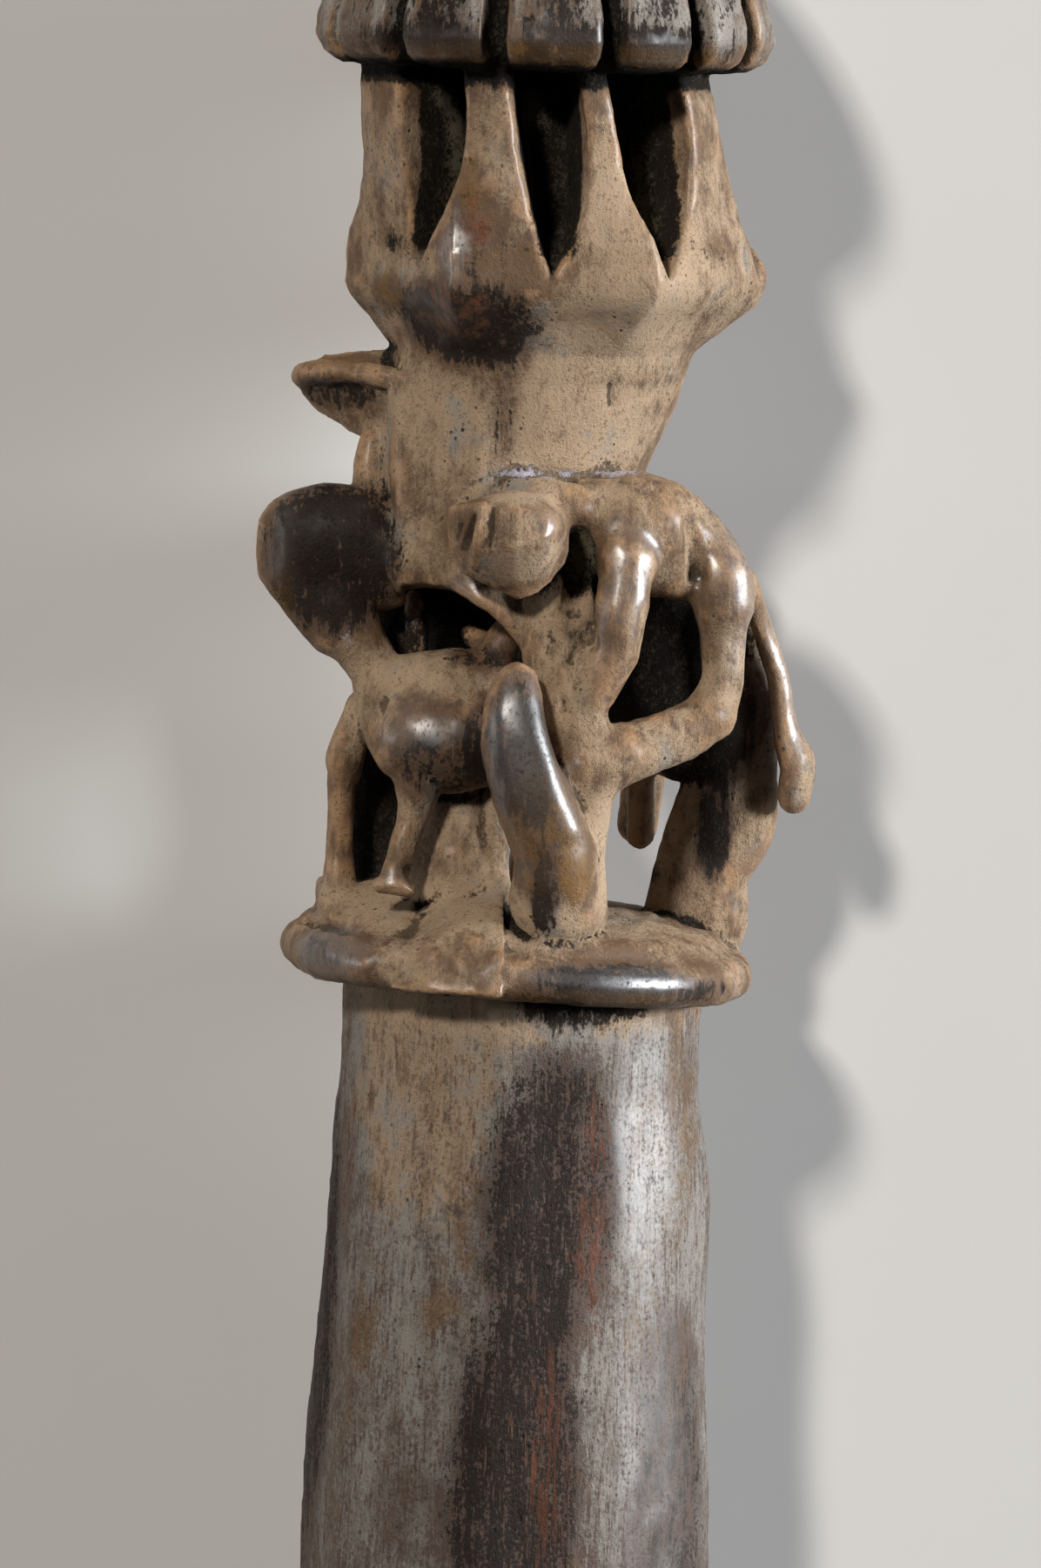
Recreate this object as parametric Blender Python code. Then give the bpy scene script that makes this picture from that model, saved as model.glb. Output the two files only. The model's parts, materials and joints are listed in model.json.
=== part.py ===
"""Ceremonial staff carved from one length of hardwood, lying on its back with its carved front up.

Metres. The figures stand on a round platform between a long shaft and a fluted cap. The staff runs along
+Y with its head towards +Y. It is drawn in its own frame first: x across, y up the staff from the
platform's underside, z towards the carved front. It is then laid down so that the platform's rim and the
foot rest on z = 0, with the middle of its underside at the origin.
"""

import math

import bmesh
import bpy
from mathutils import Matrix, Vector

# Driving sizes
SHAFT_LENGTH = 0.860
SHAFT_TOP_RADIUS = 0.0148
GRIP_RADIUS = 0.0171
GRIP_DEPTH = 0.070
FOOT_RADIUS = 0.0112
FOOT_ROUNDING = 0.0030
PLATFORM_RADIUS = 0.0190
PLATFORM_RIM = 0.0038
PLATFORM_MOUND = 0.0022
PLATFORM_SLANT = math.radians(4.0)
OPENWORK_HEIGHT = 0.0360
NECK_HEIGHT = 0.0100
NECK_RADIUS = 0.0121
NECK_WAIST_RADIUS = 0.0104
RING_RADIUS = 0.0174
RING_HEIGHT = 0.0064
LANTERN_HEIGHT = 0.0166
LANTERN_TOP_RADIUS = 0.0145
LANTERN_CORE_RADIUS = 0.0074
CAP_RADIUS = 0.0188
CAP_HEIGHT = 0.0300
CAP_FLUTE_DEPTH = 0.0021
PLATFORM_FLAT_DEPTH = 0.0009
FOOT_FLAT_DEPTH = 0.00025

# Levels up the staff that follow from them
PLATFORM_TOP = PLATFORM_RIM + PLATFORM_MOUND
NECK_FOOT = PLATFORM_TOP + OPENWORK_HEIGHT
RING_FOOT = NECK_FOOT + NECK_HEIGHT
RING_TOP = RING_FOOT + RING_HEIGHT
CAP_UNDERSIDE = RING_TOP + LANTERN_HEIGHT

# Fineness of the solid
CARVING_CELL = PLATFORM_RADIUS / 34
CARVING_TRIANGLES = 8300
SHAFT_SIDES = 28

# Turns round the staff, in degrees from the front towards the right: the cap's flutes, the corners of the
# six-sided ring, and for each hollow of the lantern its lowest point and its two edges at the cap
CAP_FLUTES = (-70, -42, -13, 17.5, 43, 65, 92, 120, 148, 176, 205, 234, 262)
CAP_FLUTE_SPREAD = 7.0
RING_CORNERS = (-88, -29, 28, 86, 147, 210)
HOLLOWS = (
    (-50, -49, -24),
    (-2, -9, 15),
    (33, 24, 55),
    (82, 80, 101),
    (128, 122, 147),
    (174, 168, 193),
    (222, 215, 238),
    (264, 256, 279),
)

# The figures are drawn in shares. A limb is (name, flatness, flattened direction, stations), and a station
# is (across, up, front, girth): across, front and girth in platform radii, up in openwork heights above
# the platform's top.
FRONT = (0, 0, 1)
BEAST = (
    (
        "back",
        1.0,
        FRONT,
        (
            (0.13, 0.882, 0.30, 0.209),
            (0.31, 0.89, 0.43, 0.234),
            (0.47, 0.893, 0.43, 0.223),
            (0.64, 0.853, 0.35, 0.182),
            (0.77, 0.783, 0.26, 0.146),
        ),
    ),
    (
        "haunch",
        1.0,
        FRONT,
        (
            (0.73, 0.85, 0.36, 0.12),
            (0.79, 0.79, 0.41, 0.128),
            (0.82, 0.727, 0.42, 0.118),
        ),
    ),
    (
        "belly",
        1.0,
        FRONT,
        (
            (0.40, 0.825, 0.50, 0.15),
            (0.56, 0.802, 0.45, 0.13),
            (0.70, 0.782, 0.38, 0.115),
        ),
    ),
    (
        "nape",
        1.0,
        FRONT,
        (
            (-0.06, 0.955, 0.55, 0.115),
            (0.06, 0.94, 0.60, 0.115),
            (0.17, 0.93, 0.58, 0.11),
        ),
    ),
    (
        "thigh",
        1.0,
        FRONT,
        (
            (0.81, 0.727, 0.41, 0.113),
            (0.82, 0.628, 0.39, 0.096),
            (0.82, 0.54, 0.39, 0.091),
            (0.77, 0.471, 0.41, 0.104),
        ),
    ),
    (
        "chest",
        0.6,
        (-0.25, 0, 1),
        (
            (0.09, 0.767, 0.57, 0.166),
            (0.10, 0.666, 0.61, 0.161),
            (0.13, 0.56, 0.63, 0.16),
            (0.18, 0.453, 0.64, 0.155),
            (0.24, 0.375, 0.64, 0.15),
        ),
    ),
    (
        "shin",
        1.0,
        FRONT,
        (
            (0.77, 0.467, 0.41, 0.104),
            (0.65, 0.428, 0.46, 0.114),
            (0.50, 0.398, 0.54, 0.124),
            (0.35, 0.375, 0.61, 0.14),
            (0.23, 0.347, 0.64, 0.15),
        ),
    ),
    (
        "perch",
        1.0,
        FRONT,
        (
            (0.27, 0.355, 0.63, 0.124),
            (0.26, 0.257, 0.64, 0.098),
            (0.25, 0.158, 0.65, 0.083),
            (0.24, 0.02, 0.65, 0.114),
        ),
    ),
    (
        "shoulder",
        1.0,
        FRONT,
        (
            (0.37, 0.873, 0.58, 0.115),
            (0.40, 0.815, 0.65, 0.125),
        ),
    ),
    (
        "foreleg",
        1.0,
        FRONT,
        (
            (0.39, 0.825, 0.66, 0.112),
            (0.37, 0.74, 0.69, 0.112),
            (0.37, 0.683, 0.70, 0.108),
            (0.36, 0.627, 0.70, 0.096),
            (0.32, 0.565, 0.69, 0.086),
            (0.25, 0.504, 0.68, 0.082),
            (0.18, 0.46, 0.66, 0.078),
        ),
    ),
    (
        "fin",
        0.62,
        FRONT,
        (
            (0.87, 0.711, -0.08, 0.116),
            (0.91, 0.589, -0.13, 0.137),
            (0.92, 0.447, -0.16, 0.169),
            (0.90, 0.325, -0.17, 0.19),
            (0.86, 0.202, -0.19, 0.227),
            (0.77, 0.079, -0.20, 0.206),
            (0.75, -0.03, -0.21, 0.232),
        ),
    ),
    (
        "tail",
        0.8,
        (1, 0, 0.4),
        (
            (0.90, 0.765, 0.18, 0.07),
            (0.96, 0.699, 0.08, 0.055),
            (1.02, 0.617, 0.02, 0.052),
            (1.07, 0.537, -0.01, 0.052),
            (1.10, 0.455, -0.04, 0.055),
            (1.13, 0.391, -0.05, 0.07),
            (1.165, 0.32, -0.06, 0.094),
            (1.165, 0.27, -0.06, 0.094),
        ),
    ),
)
BEAST_HEAD = (
    (-0.38, 0.935, 0.74),
    (-0.26, 0.959, 0.82),
    (-0.22, 0.949, 0.95),
    (-0.20, 0.90, 0.99),
    (-0.21, 0.844, 0.96),
    (-0.23, 0.814, 0.89),
    (-0.31, 0.786, 0.81),
    (-0.37, 0.837, 0.73),
    (-0.38, 0.903, 0.73),
    (-0.12, 0.98, 0.78),
    (0.03, 0.974, 0.72),
    (0.12, 0.941, 0.68),
    (0.16, 0.898, 0.67),
    (0.16, 0.847, 0.66),
    (-0.17, 0.877, 0.99),
    (-0.09, 0.865, 1.02),
    (0.04, 0.873, 1.00),
    (0.09, 0.906, 0.93),
    (0.05, 0.933, 0.94),
    (-0.09, 0.947, 0.96),
    (-0.07, 0.735, 0.81),
    (-0.01, 0.744, 0.81),
    (0.07, 0.775, 0.76),
    (0.14, 0.818, 0.69),
    (-0.28, 0.892, 0.47),
    (0.09, 0.897, 0.45),
    (-0.05, 0.788, 0.50),
    (-0.20, 0.817, 0.53),
)
HORN = (
    (
        "horn",
        0.9,
        FRONT,
        (
            (-0.08, 0.548, 0.79, 0.077),
            (-0.08, 0.515, 0.80, 0.105),
            (-0.07, 0.457, 0.82, 0.128),
            (-0.05, 0.389, 0.82, 0.147),
            (0.00, 0.311, 0.82, 0.16),
            (0.07, 0.233, 0.81, 0.172),
            (0.12, 0.154, 0.79, 0.185),
            (0.13, 0.084, 0.77, 0.201),
            (0.13, -0.01, 0.75, 0.232),
        ),
    ),
    (
        "ridge",
        1.0,
        FRONT,
        (
            (0.00, 0.54, 0.83, 0.052),
            (0.04, 0.424, 0.89, 0.058),
            (0.11, 0.318, 0.91, 0.058),
            (0.18, 0.23, 0.90, 0.056),
        ),
    ),
)
PERCHER = (
    (
        "drum",
        0.66,
        FRONT,
        (
            (-0.99, 0.828, 0.20, 0.226),
            (-0.88, 0.835, 0.22, 0.241),
            (-0.76, 0.825, 0.23, 0.24),
            (-0.66, 0.79, 0.24, 0.21),
        ),
    ),
    (
        "drum_edge",
        0.7,
        FRONT,
        (
            (-1.01, 0.788, 0.20, 0.196),
            (-0.93, 0.71, 0.21, 0.17),
            (-0.85, 0.644, 0.23, 0.143),
        ),
    ),
    (
        "throat",
        0.85,
        FRONT,
        (
            (-0.86, 0.706, 0.22, 0.15),
            (-0.78, 0.629, 0.25, 0.128),
            (-0.68, 0.552, 0.29, 0.115),
            (-0.61, 0.486, 0.35, 0.135),
        ),
    ),
    (
        "flank",
        1.0,
        FRONT,
        (
            (-0.71, 1.063, 0.13, 0.052),
            (-0.73, 0.994, 0.16, 0.063),
            (-0.68, 0.907, 0.21, 0.095),
            (-0.60, 0.822, 0.29, 0.12),
            (-0.51, 0.77, 0.36, 0.115),
        ),
    ),
    (
        "withers",
        1.0,
        FRONT,
        (
            (-0.56, 0.484, 0.33, 0.158),
            (-0.48, 0.494, 0.35, 0.18),
            (-0.34, 0.50, 0.34, 0.188),
            (-0.17, 0.511, 0.29, 0.167),
        ),
    ),
    (
        "body",
        1.0,
        FRONT,
        (
            (-0.54, 0.42, 0.37, 0.18),
            (-0.45, 0.40, 0.43, 0.225),
            (-0.32, 0.395, 0.44, 0.225),
            (-0.16, 0.405, 0.40, 0.203),
        ),
    ),
    (
        "flank_ridge",
        1.0,
        FRONT,
        (
            (-0.70, 0.51, 0.33, 0.05),
            (-0.69, 0.442, 0.36, 0.054),
            (-0.68, 0.383, 0.37, 0.058),
            (-0.66, 0.325, 0.36, 0.056),
        ),
    ),
    (
        "shoulder",
        1.0,
        FRONT,
        (
            (-0.73, 0.425, 0.27, 0.08),
            (-0.77, 0.38, 0.28, 0.082),
            (-0.79, 0.335, 0.27, 0.086),
            (-0.79, 0.308, 0.26, 0.086),
        ),
    ),
    (
        "outer_leg",
        1.0,
        FRONT,
        (
            (-0.81, 0.266, 0.23, 0.06),
            (-0.81, 0.218, 0.22, 0.055),
            (-0.81, 0.138, 0.22, 0.054),
            (-0.82, 0.074, 0.23, 0.07),
            (-0.84, 0.01, 0.23, 0.115),
        ),
    ),
    (
        "inner_leg",
        1.0,
        FRONT,
        (
            (-0.47, 0.30, 0.51, 0.105),
            (-0.48, 0.249, 0.53, 0.078),
            (-0.51, 0.191, 0.56, 0.065),
            (-0.54, 0.133, 0.60, 0.062),
            (-0.56, 0.098, 0.64, 0.06),
        ),
    ),
    (
        "foot",
        1.0,
        FRONT,
        (
            (-0.62, 0.072, 0.66, 0.042),
            (-0.56, 0.075, 0.69, 0.047),
            (-0.51, 0.07, 0.71, 0.036),
        ),
    ),
    (
        "pale_leg",
        1.0,
        FRONT,
        (
            (-0.13, 0.305, 0.36, 0.08),
            (-0.13, 0.196, 0.38, 0.07),
            (-0.14, 0.097, 0.40, 0.072),
            (-0.14, 0.06, 0.44, 0.08),
        ),
    ),
    (
        "rim_roll",
        1.0,
        FRONT,
        (
            (-0.95, -0.105, -0.05, 0.111),
            (-0.90, -0.101, 0.21, 0.115),
            (-0.81, -0.099, 0.50, 0.115),
            (-0.65, -0.102, 0.71, 0.108),
            (-0.51, -0.107, 0.79, 0.094),
        ),
    ),
)
# The dusty ledge and the apron before the left-hand figure, and the flats of the neck's left side
LEDGE = (
    (-0.92, 0.034, -0.25),
    (-0.90, 0.04, 0.18),
    (-0.45, 0.074, -0.25),
    (-0.44, 0.066, 0.30),
    (-0.82, -0.035, 0.50),
    (-0.50, -0.018, 0.68),
    (-0.92, -0.08, -0.25),
    (-0.45, -0.08, -0.25),
    (-0.90, -0.08, 0.20),
    (-0.78, -0.08, 0.50),
    (-0.48, -0.08, 0.72),
)
APRON = (
    (-0.36, 0.085, 0.28),
    (-0.09, 0.09, 0.30),
    (-0.49, -0.04, 0.77),
    (-0.085, 0.01, 0.80),
    (-0.55, -0.098, 0.88),
    (-0.085, -0.066, 0.985),
    (-0.56, -0.15, 0.90),
    (-0.085, -0.152, 1.03),
    (-0.35, -0.15, 0.995),
    (-0.32, -0.018, 0.85),
    (-0.57, -0.16, 0.32),
    (-0.08, -0.16, 0.32),
)
NECK_FLATS = (
    (-0.62, 1.23, 0.37),
    (-0.25, 1.254, 0.57),
    (-0.60, 0.77, 0.42),
    (-0.42, 0.75, 0.53),
    (-0.26, 0.74, 0.61),
    (-0.72, 1.19, 0.05),
    (-0.72, 0.951, 0.05),
    (-0.66, 0.762, 0.11),
    (-0.46, 1.21, -0.11),
    (-0.43, 0.75, 0.11),
    (-0.06, 0.67, 0.60),
    (-0.06, 1.20, 0.50),
    (-0.06, 0.67, 0.10),
)
NECK_CARVING = (
    (
        "lip",
        1.0,
        FRONT,
        (
            (-0.46, 0.85, 0.47, 0.036),
            (-0.40, 0.80, 0.51, 0.04),
            (-0.33, 0.765, 0.55, 0.04),
            (-0.25, 0.735, 0.585, 0.038),
            (-0.17, 0.708, 0.60, 0.036),
            (-0.11, 0.682, 0.60, 0.036),
            (-0.05, 0.64, 0.59, 0.036),
        ),
    ),
    (
        "web",
        0.7,
        FRONT,
        (
            (-0.64, 1.11, 0.05, 0.085),
            (-0.67, 1.01, 0.08, 0.078),
            (-0.74, 0.95, 0.11, 0.072),
            (-0.81, 0.91, 0.15, 0.08),
        ),
    ),
    (
        "beak_edge",
        1.0,
        FRONT,
        (
            (-1.03, 1.201, -0.02, 0.052),
            (-0.95, 1.214, 0.07, 0.052),
            (-0.80, 1.213, 0.15, 0.048),
            (-0.65, 1.21, 0.25, 0.045),
        ),
    ),
)
BEAK = (
    (-1.05, 1.19, -0.02),
    (-1.04, 1.155, -0.05),
    (-1.03, 1.228, -0.06),
    (-0.98, 1.19, 0.04),
    (-0.81, 1.195, 0.14),
    (-0.61, 1.186, 0.26),
    (-0.94, 1.253, -0.08),
    (-0.64, 1.273, 0.00),
    (-0.95, 1.112, -0.05),
    (-0.76, 1.06, 0.03),
    (-0.66, 1.04, 0.13),
    (-0.83, 1.183, -0.16),
    (-0.61, 1.186, -0.16),
)
# The heart: what the carver left behind the figures, rough, with two small gaps beside the perch
HEART = (
    (
        "under_neck",
        1.0,
        FRONT,
        (
            (-0.62, 0.68, -0.26, 0.244),
            (-0.35, 0.665, -0.29, 0.265),
            (-0.05, 0.66, -0.26, 0.265),
        ),
    ),
    (
        "right",
        1.0,
        FRONT,
        (
            (0.50, 0.765, -0.18, 0.221),
            (0.53, 0.625, -0.26, 0.231),
            (0.53, 0.50, -0.28, 0.231),
            (0.66, 0.38, -0.26, 0.179),
        ),
    ),
    (
        "middle",
        1.0,
        FRONT,
        (
            (-0.30, 0.36, 0.20, 0.20),
            (-0.31, 0.20, 0.24, 0.195),
            (-0.30, 0.04, 0.32, 0.22),
        ),
    ),
    (
        "behind_chest",
        1.0,
        FRONT,
        (
            (0.18, 0.90, 0.28, 0.20),
            (0.21, 0.75, 0.30, 0.19),
            (0.24, 0.60, 0.34, 0.17),
        ),
    ),
    (
        "left",
        1.0,
        FRONT,
        (
            (-0.68, 0.305, -0.11, 0.169),
            (-0.67, 0.16, -0.13, 0.158),
            (-0.66, 0.03, -0.15, 0.18),
        ),
    ),
    (
        "far_limb",
        1.0,
        FRONT,
        (
            (0.48, 0.355, -0.26, 0.075),
            (0.475, 0.26, -0.29, 0.066),
            (0.47, 0.18, -0.32, 0.07),
            (0.46, 0.15, -0.33, 0.07),
        ),
    ),
    (
        "rear_prop",
        1.0,
        FRONT,
        (
            (-0.58, 0.62, -0.06, 0.15),
            (-0.62, 0.40, -0.16, 0.12),
            (-0.64, 0.20, -0.20, 0.105),
            (-0.64, -0.04, -0.22, 0.15),
        ),
    ),
)
REAR_BEAST = (
    (
        "back",
        1.0,
        FRONT,
        (
            (0.46, 0.86, -0.34, 0.22),
            (0.22, 0.87, -0.52, 0.245),
            (-0.10, 0.86, -0.58, 0.235),
            (-0.36, 0.80, -0.50, 0.205),
            (-0.52, 0.70, -0.36, 0.165),
        ),
    ),
    ("head", 1.0, FRONT, ((0.44, 0.86, -0.42, 0.19), (0.58, 0.83, -0.48, 0.20), (0.70, 0.79, -0.46, 0.16))),
    (
        "paw",
        1.0,
        FRONT,
        (
            (0.44, 0.80, -0.44, 0.140),
            (0.53, 0.62, -0.46, 0.112),
            (0.53, 0.46, -0.47, 0.102),
            (0.51, 0.30, -0.48, 0.098),
            (0.49, 0.17, -0.48, 0.090),
        ),
    ),
    (
        "thigh",
        1.0,
        FRONT,
        (
            (-0.36, 0.74, -0.56, 0.140),
            (-0.40, 0.60, -0.64, 0.120),
            (-0.30, 0.46, -0.67, 0.115),
            (-0.10, 0.38, -0.66, 0.120),
            (0.06, 0.32, -0.62, 0.130),
        ),
    ),
    (
        "perch",
        1.0,
        FRONT,
        (
            (0.06, 0.84, -0.50, 0.160),
            (0.08, 0.60, -0.56, 0.140),
            (0.08, 0.35, -0.60, 0.135),
            (0.07, 0.15, -0.62, 0.120),
            (0.06, -0.04, -0.62, 0.170),
        ),
    ),
    (
        "tail",
        1.0,
        FRONT,
        (
            (-0.50, 0.68, -0.46, 0.105),
            (-0.56, 0.50, -0.55, 0.092),
            (-0.58, 0.32, -0.60, 0.095),
            (-0.56, 0.14, -0.61, 0.105),
            (-0.54, -0.04, -0.58, 0.150),
        ),
    ),
)


def smooth(share):
    share = min(1.0, max(0.0, share))
    return share * share * (3 - 2 * share)


def figure_point(across, up, front):
    """A drawn share as a point of the staff's frame."""
    return Vector((across * PLATFORM_RADIUS, PLATFORM_TOP + up * OPENWORK_HEIGHT, front * PLATFORM_RADIUS))


def eased(stations, steps=4):
    """The stations with more between them, on a smooth curve."""
    rows = [Vector(s) for s in stations]
    rows = [rows[0] * 2 - rows[1], *rows, rows[-1] * 2 - rows[-2]]
    found = []
    for a, b, c, d in zip(rows, rows[1:], rows[2:], rows[3:]):
        for i in range(steps):
            t = i / steps
            bend = (a * 2 - b * 5 + c * 4 - d) * t**2 + (b * 3 - a - c * 3 + d) * t**3
            found.append((b * 2 + (c - a) * t + bend) / 2)
    return [*found, rows[-2]]


def skin_rings(bm, rings):
    """One closed shell over rings of points, with a fan of faces over each end."""
    rows = [[bm.verts.new(p) for p in ring] for ring in rings]
    count = len(rows[0])
    for low, high in zip(rows, rows[1:]):
        for i in range(count):
            j = (i + 1) % count
            bm.faces.new((low[i], low[j], high[j], high[i]))
    for row in (rows[0], rows[-1]):
        middle = bm.verts.new(sum((v.co for v in row), Vector()) / count)
        for i in range(count):
            bm.faces.new((row[i], row[(i + 1) % count], middle))


def add_limb(bm, flatness, direction, stations, sides=14):
    """A limb with round ends through its stations, thinned to its flatness along one direction."""
    rows = eased(stations)
    centres = [figure_point(*row[:3]) for row in rows]
    girths = [row[3] * PLATFORM_RADIUS for row in rows]
    thin = Vector(direction).normalized()
    frames = [(centres[max(i - 1, 0)], centres[min(i + 1, len(centres) - 1)]) for i in range(len(centres))]
    aheads = [(after - before).normalized() for before, after in frames]
    spots = list(zip(centres, aheads, girths))
    for degrees in (30, 55, 78):
        reach = math.sin(math.radians(degrees))
        share = math.cos(math.radians(degrees))
        spots.insert(0, (centres[0] - aheads[0] * girths[0] * reach, aheads[0], girths[0] * share))
        spots.append((centres[-1] + aheads[-1] * girths[-1] * reach, aheads[-1], girths[-1] * share))
    side = aheads[0].orthogonal()
    rings = []
    for centre, ahead, girth in spots:
        side = (side - ahead * side.dot(ahead)).normalized()
        other = ahead.cross(side)
        ring = []
        for i in range(sides):
            angle = math.tau * i / sides
            out = (side * math.cos(angle) + other * math.sin(angle)) * girth
            ring.append(centre + out - thin * out.dot(thin) * (1 - flatness))
        rings.append(ring)
    skin_rings(bm, rings)


def add_block(bm, corners):
    """The faceted block that just holds the drawn corners."""
    verts = [bm.verts.new(figure_point(*corner)) for corner in corners]
    made = bmesh.ops.convex_hull(bm, input=verts)
    spare = set(verts).intersection(made["geom_interior"] + made["geom_unused"])
    bmesh.ops.delete(bm, geom=list(spare), context="VERTS")


def add_turned(bm, levels, reach, sides):
    """A closed shell round the staff. A level is (height, centre x), and reach(height, degrees) is its
    distance out from that centre."""
    rings = []
    for height, centre_x in levels:
        ring = []
        for i in range(sides):
            angle = math.tau * i / sides
            out = reach(height, math.degrees(angle))
            ring.append(Vector((centre_x + out * math.sin(angle), height, out * math.cos(angle))))
        rings.append(ring)
    skin_rings(bm, rings)


def between(table, at):
    """The table's second column at a value of its first."""
    for (a, low), (b, high) in zip(table, table[1:]):
        if at <= b:
            return low + (high - low) * max(0.0, (at - a) / (b - a))
    return table[-1][1]


def ring_share(degrees):
    """How far the straight side of the six-sided ring reaches, as a share of its corners."""
    for a, b in zip(RING_CORNERS, (*RING_CORNERS[1:], RING_CORNERS[0] + 360)):
        turn = (degrees - a) % 360
        if turn <= b - a:
            half = math.radians(b - a) / 2
            return math.cos(half) / math.cos(math.radians(turn) - half)
    return 1.0


def hollow_depth(height, degrees):
    """How deep the lantern's hollows are here, from 0 on a post to 1 at the core."""
    up = (height - RING_TOP) / LANTERN_HEIGHT
    if up <= 0:
        return 0.0
    spread = 1 - (1 - min(up, 1)) ** 2.2
    for foot, left, right in HOLLOWS:
        middle = (left + right) / 2
        turn = (degrees - middle + 180) % 360 - 180 + middle
        low = foot + (left - foot) * spread
        high = foot + (right - foot) * spread
        inside = math.radians(min(turn - low, high - turn)) * LANTERN_TOP_RADIUS
        if inside > 0:
            return smooth(inside / (LANTERN_TOP_RADIUS * 0.055))
    return 0.0


def lantern_reach(height, degrees):
    """The cone, the six-sided ring and the posts, with the hollows cut down towards the core."""
    skin = between(
        (
            (RING_FOOT - RING_HEIGHT * 0.3, NECK_RADIUS * 0.97),
            (RING_FOOT, NECK_RADIUS * 1.02),
            (RING_FOOT + RING_HEIGHT * 0.62, RING_RADIUS * 0.955),
            (RING_FOOT + RING_HEIGHT * 0.78, RING_RADIUS * 0.99),
            (RING_TOP, RING_RADIUS),
            (RING_TOP + LANTERN_HEIGHT * 0.12, RING_RADIUS * 0.985),
            (RING_TOP + LANTERN_HEIGHT * 0.30, RING_RADIUS * 0.935),
            (RING_TOP + LANTERN_HEIGHT * 0.55, RING_RADIUS * 0.875),
            (CAP_UNDERSIDE, LANTERN_TOP_RADIUS),
        ),
        height,
    )
    if height < RING_TOP:
        squared = smooth((height - RING_FOOT) / RING_HEIGHT * 1.5 + 0.2)
    else:
        squared = smooth(1 - (height - RING_TOP) / LANTERN_HEIGHT * 1.4)
    skin *= 1 + (ring_share(degrees) - 1) * squared
    return skin + (LANTERN_CORE_RADIUS - skin) * hollow_depth(height, degrees)


def cap_reach(height, degrees):
    """A rim of rounded lobes under a low dome that ends in a knob."""
    up = (height - CAP_UNDERSIDE) / CAP_HEIGHT
    skin = CAP_RADIUS * between(
        (
            (0.000, 0.800),
            (0.010, 0.900),
            (0.035, 0.965),
            (0.080, 1.000),
            (0.130, 0.995),
            (0.220, 0.950),
            (0.320, 0.880),
            (0.430, 0.775),
            (0.530, 0.650),
            (0.620, 0.500),
            (0.690, 0.365),
            (0.740, 0.290),
            (0.780, 0.262),
            (0.820, 0.280),
            (0.880, 0.300),
            (0.940, 0.270),
            (0.980, 0.180),
            (1.000, 0.060),
        ),
        up,
    )
    away = min(abs((degrees - flute + 180) % 360 - 180) for flute in CAP_FLUTES)
    return skin - CAP_FLUTE_DEPTH * smooth(1 - away / CAP_FLUTE_SPREAD) * smooth((0.74 - up) / 0.3)


def add_platform(bm):
    """The round base under the figures, with a rounded rim and a low mound, a little out of true."""
    edge = PLATFORM_RIM / 2
    table = [(0.0, PLATFORM_RADIUS - edge * 0.9)]
    for degrees in (-60, -30, 0, 30, 60):
        lift, reach = math.sin(math.radians(degrees)), math.cos(math.radians(degrees))
        table.append((edge * (1 + lift), PLATFORM_RADIUS - edge * (1 - reach)))
    table.append((PLATFORM_RIM, PLATFORM_RADIUS - edge))
    table.append((PLATFORM_RIM + PLATFORM_MOUND * 0.6, PLATFORM_RADIUS * 0.82))
    table.append((PLATFORM_TOP, PLATFORM_RADIUS * 0.62))
    first = len(bm.verts)
    add_turned(bm, [(height, 0.0) for height, _ in table], lambda height, _: between(table, height), 64)
    bm.verts.ensure_lookup_table()
    bmesh.ops.rotate(bm, verts=bm.verts[first:], matrix=Matrix.Rotation(-PLATFORM_SLANT, 3, "Z"))


def add_neck(bm):
    """The column over the figures, swayed to the left and narrower where it meets the beast's back."""
    lean = PLATFORM_RADIUS
    sway = (
        (NECK_FOOT - OPENWORK_HEIGHT * 0.25, -0.125 * lean),
        (NECK_FOOT, -0.105 * lean),
        (RING_FOOT, -0.012 * lean),
        (RING_TOP, 0.0),
    )
    table = (
        (NECK_FOOT - OPENWORK_HEIGHT * 0.25, NECK_WAIST_RADIUS * 0.86),
        (NECK_FOOT - OPENWORK_HEIGHT * 0.22, NECK_WAIST_RADIUS * 0.92),
        (NECK_FOOT - OPENWORK_HEIGHT * 0.10, NECK_WAIST_RADIUS * 0.95),
        (NECK_FOOT, NECK_WAIST_RADIUS),
        (NECK_FOOT + NECK_HEIGHT * 0.25, NECK_WAIST_RADIUS * 1.04),
        (NECK_FOOT + NECK_HEIGHT * 0.55, NECK_RADIUS * 0.955),
        (RING_FOOT, NECK_RADIUS),
        (RING_FOOT + RING_HEIGHT * 0.2, NECK_RADIUS),
    )
    levels = [(height, between(sway, height)) for height, _ in table]
    add_turned(bm, levels, lambda height, _: between(table, height), 48)


def add_lantern(bm):
    lean = PLATFORM_RADIUS * 0.063
    low = RING_FOOT - RING_HEIGHT * 0.3
    high = CAP_UNDERSIDE + CAP_HEIGHT * 0.05
    levels = []
    for i in range(49):
        height = low + (high - low) * i / 48
        sway = between(((RING_FOOT, 0.0), (RING_TOP, lean), (CAP_UNDERSIDE, -lean)), height)
        levels.append((height, sway))
    add_turned(bm, levels, lantern_reach, 240)


def add_cap(bm):
    levels = [(CAP_UNDERSIDE + CAP_HEIGHT * i / 64, -PLATFORM_RADIUS * 0.02) for i in range(65)]
    add_turned(bm, levels, cap_reach, len(CAP_FLUTES) * 14)


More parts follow.
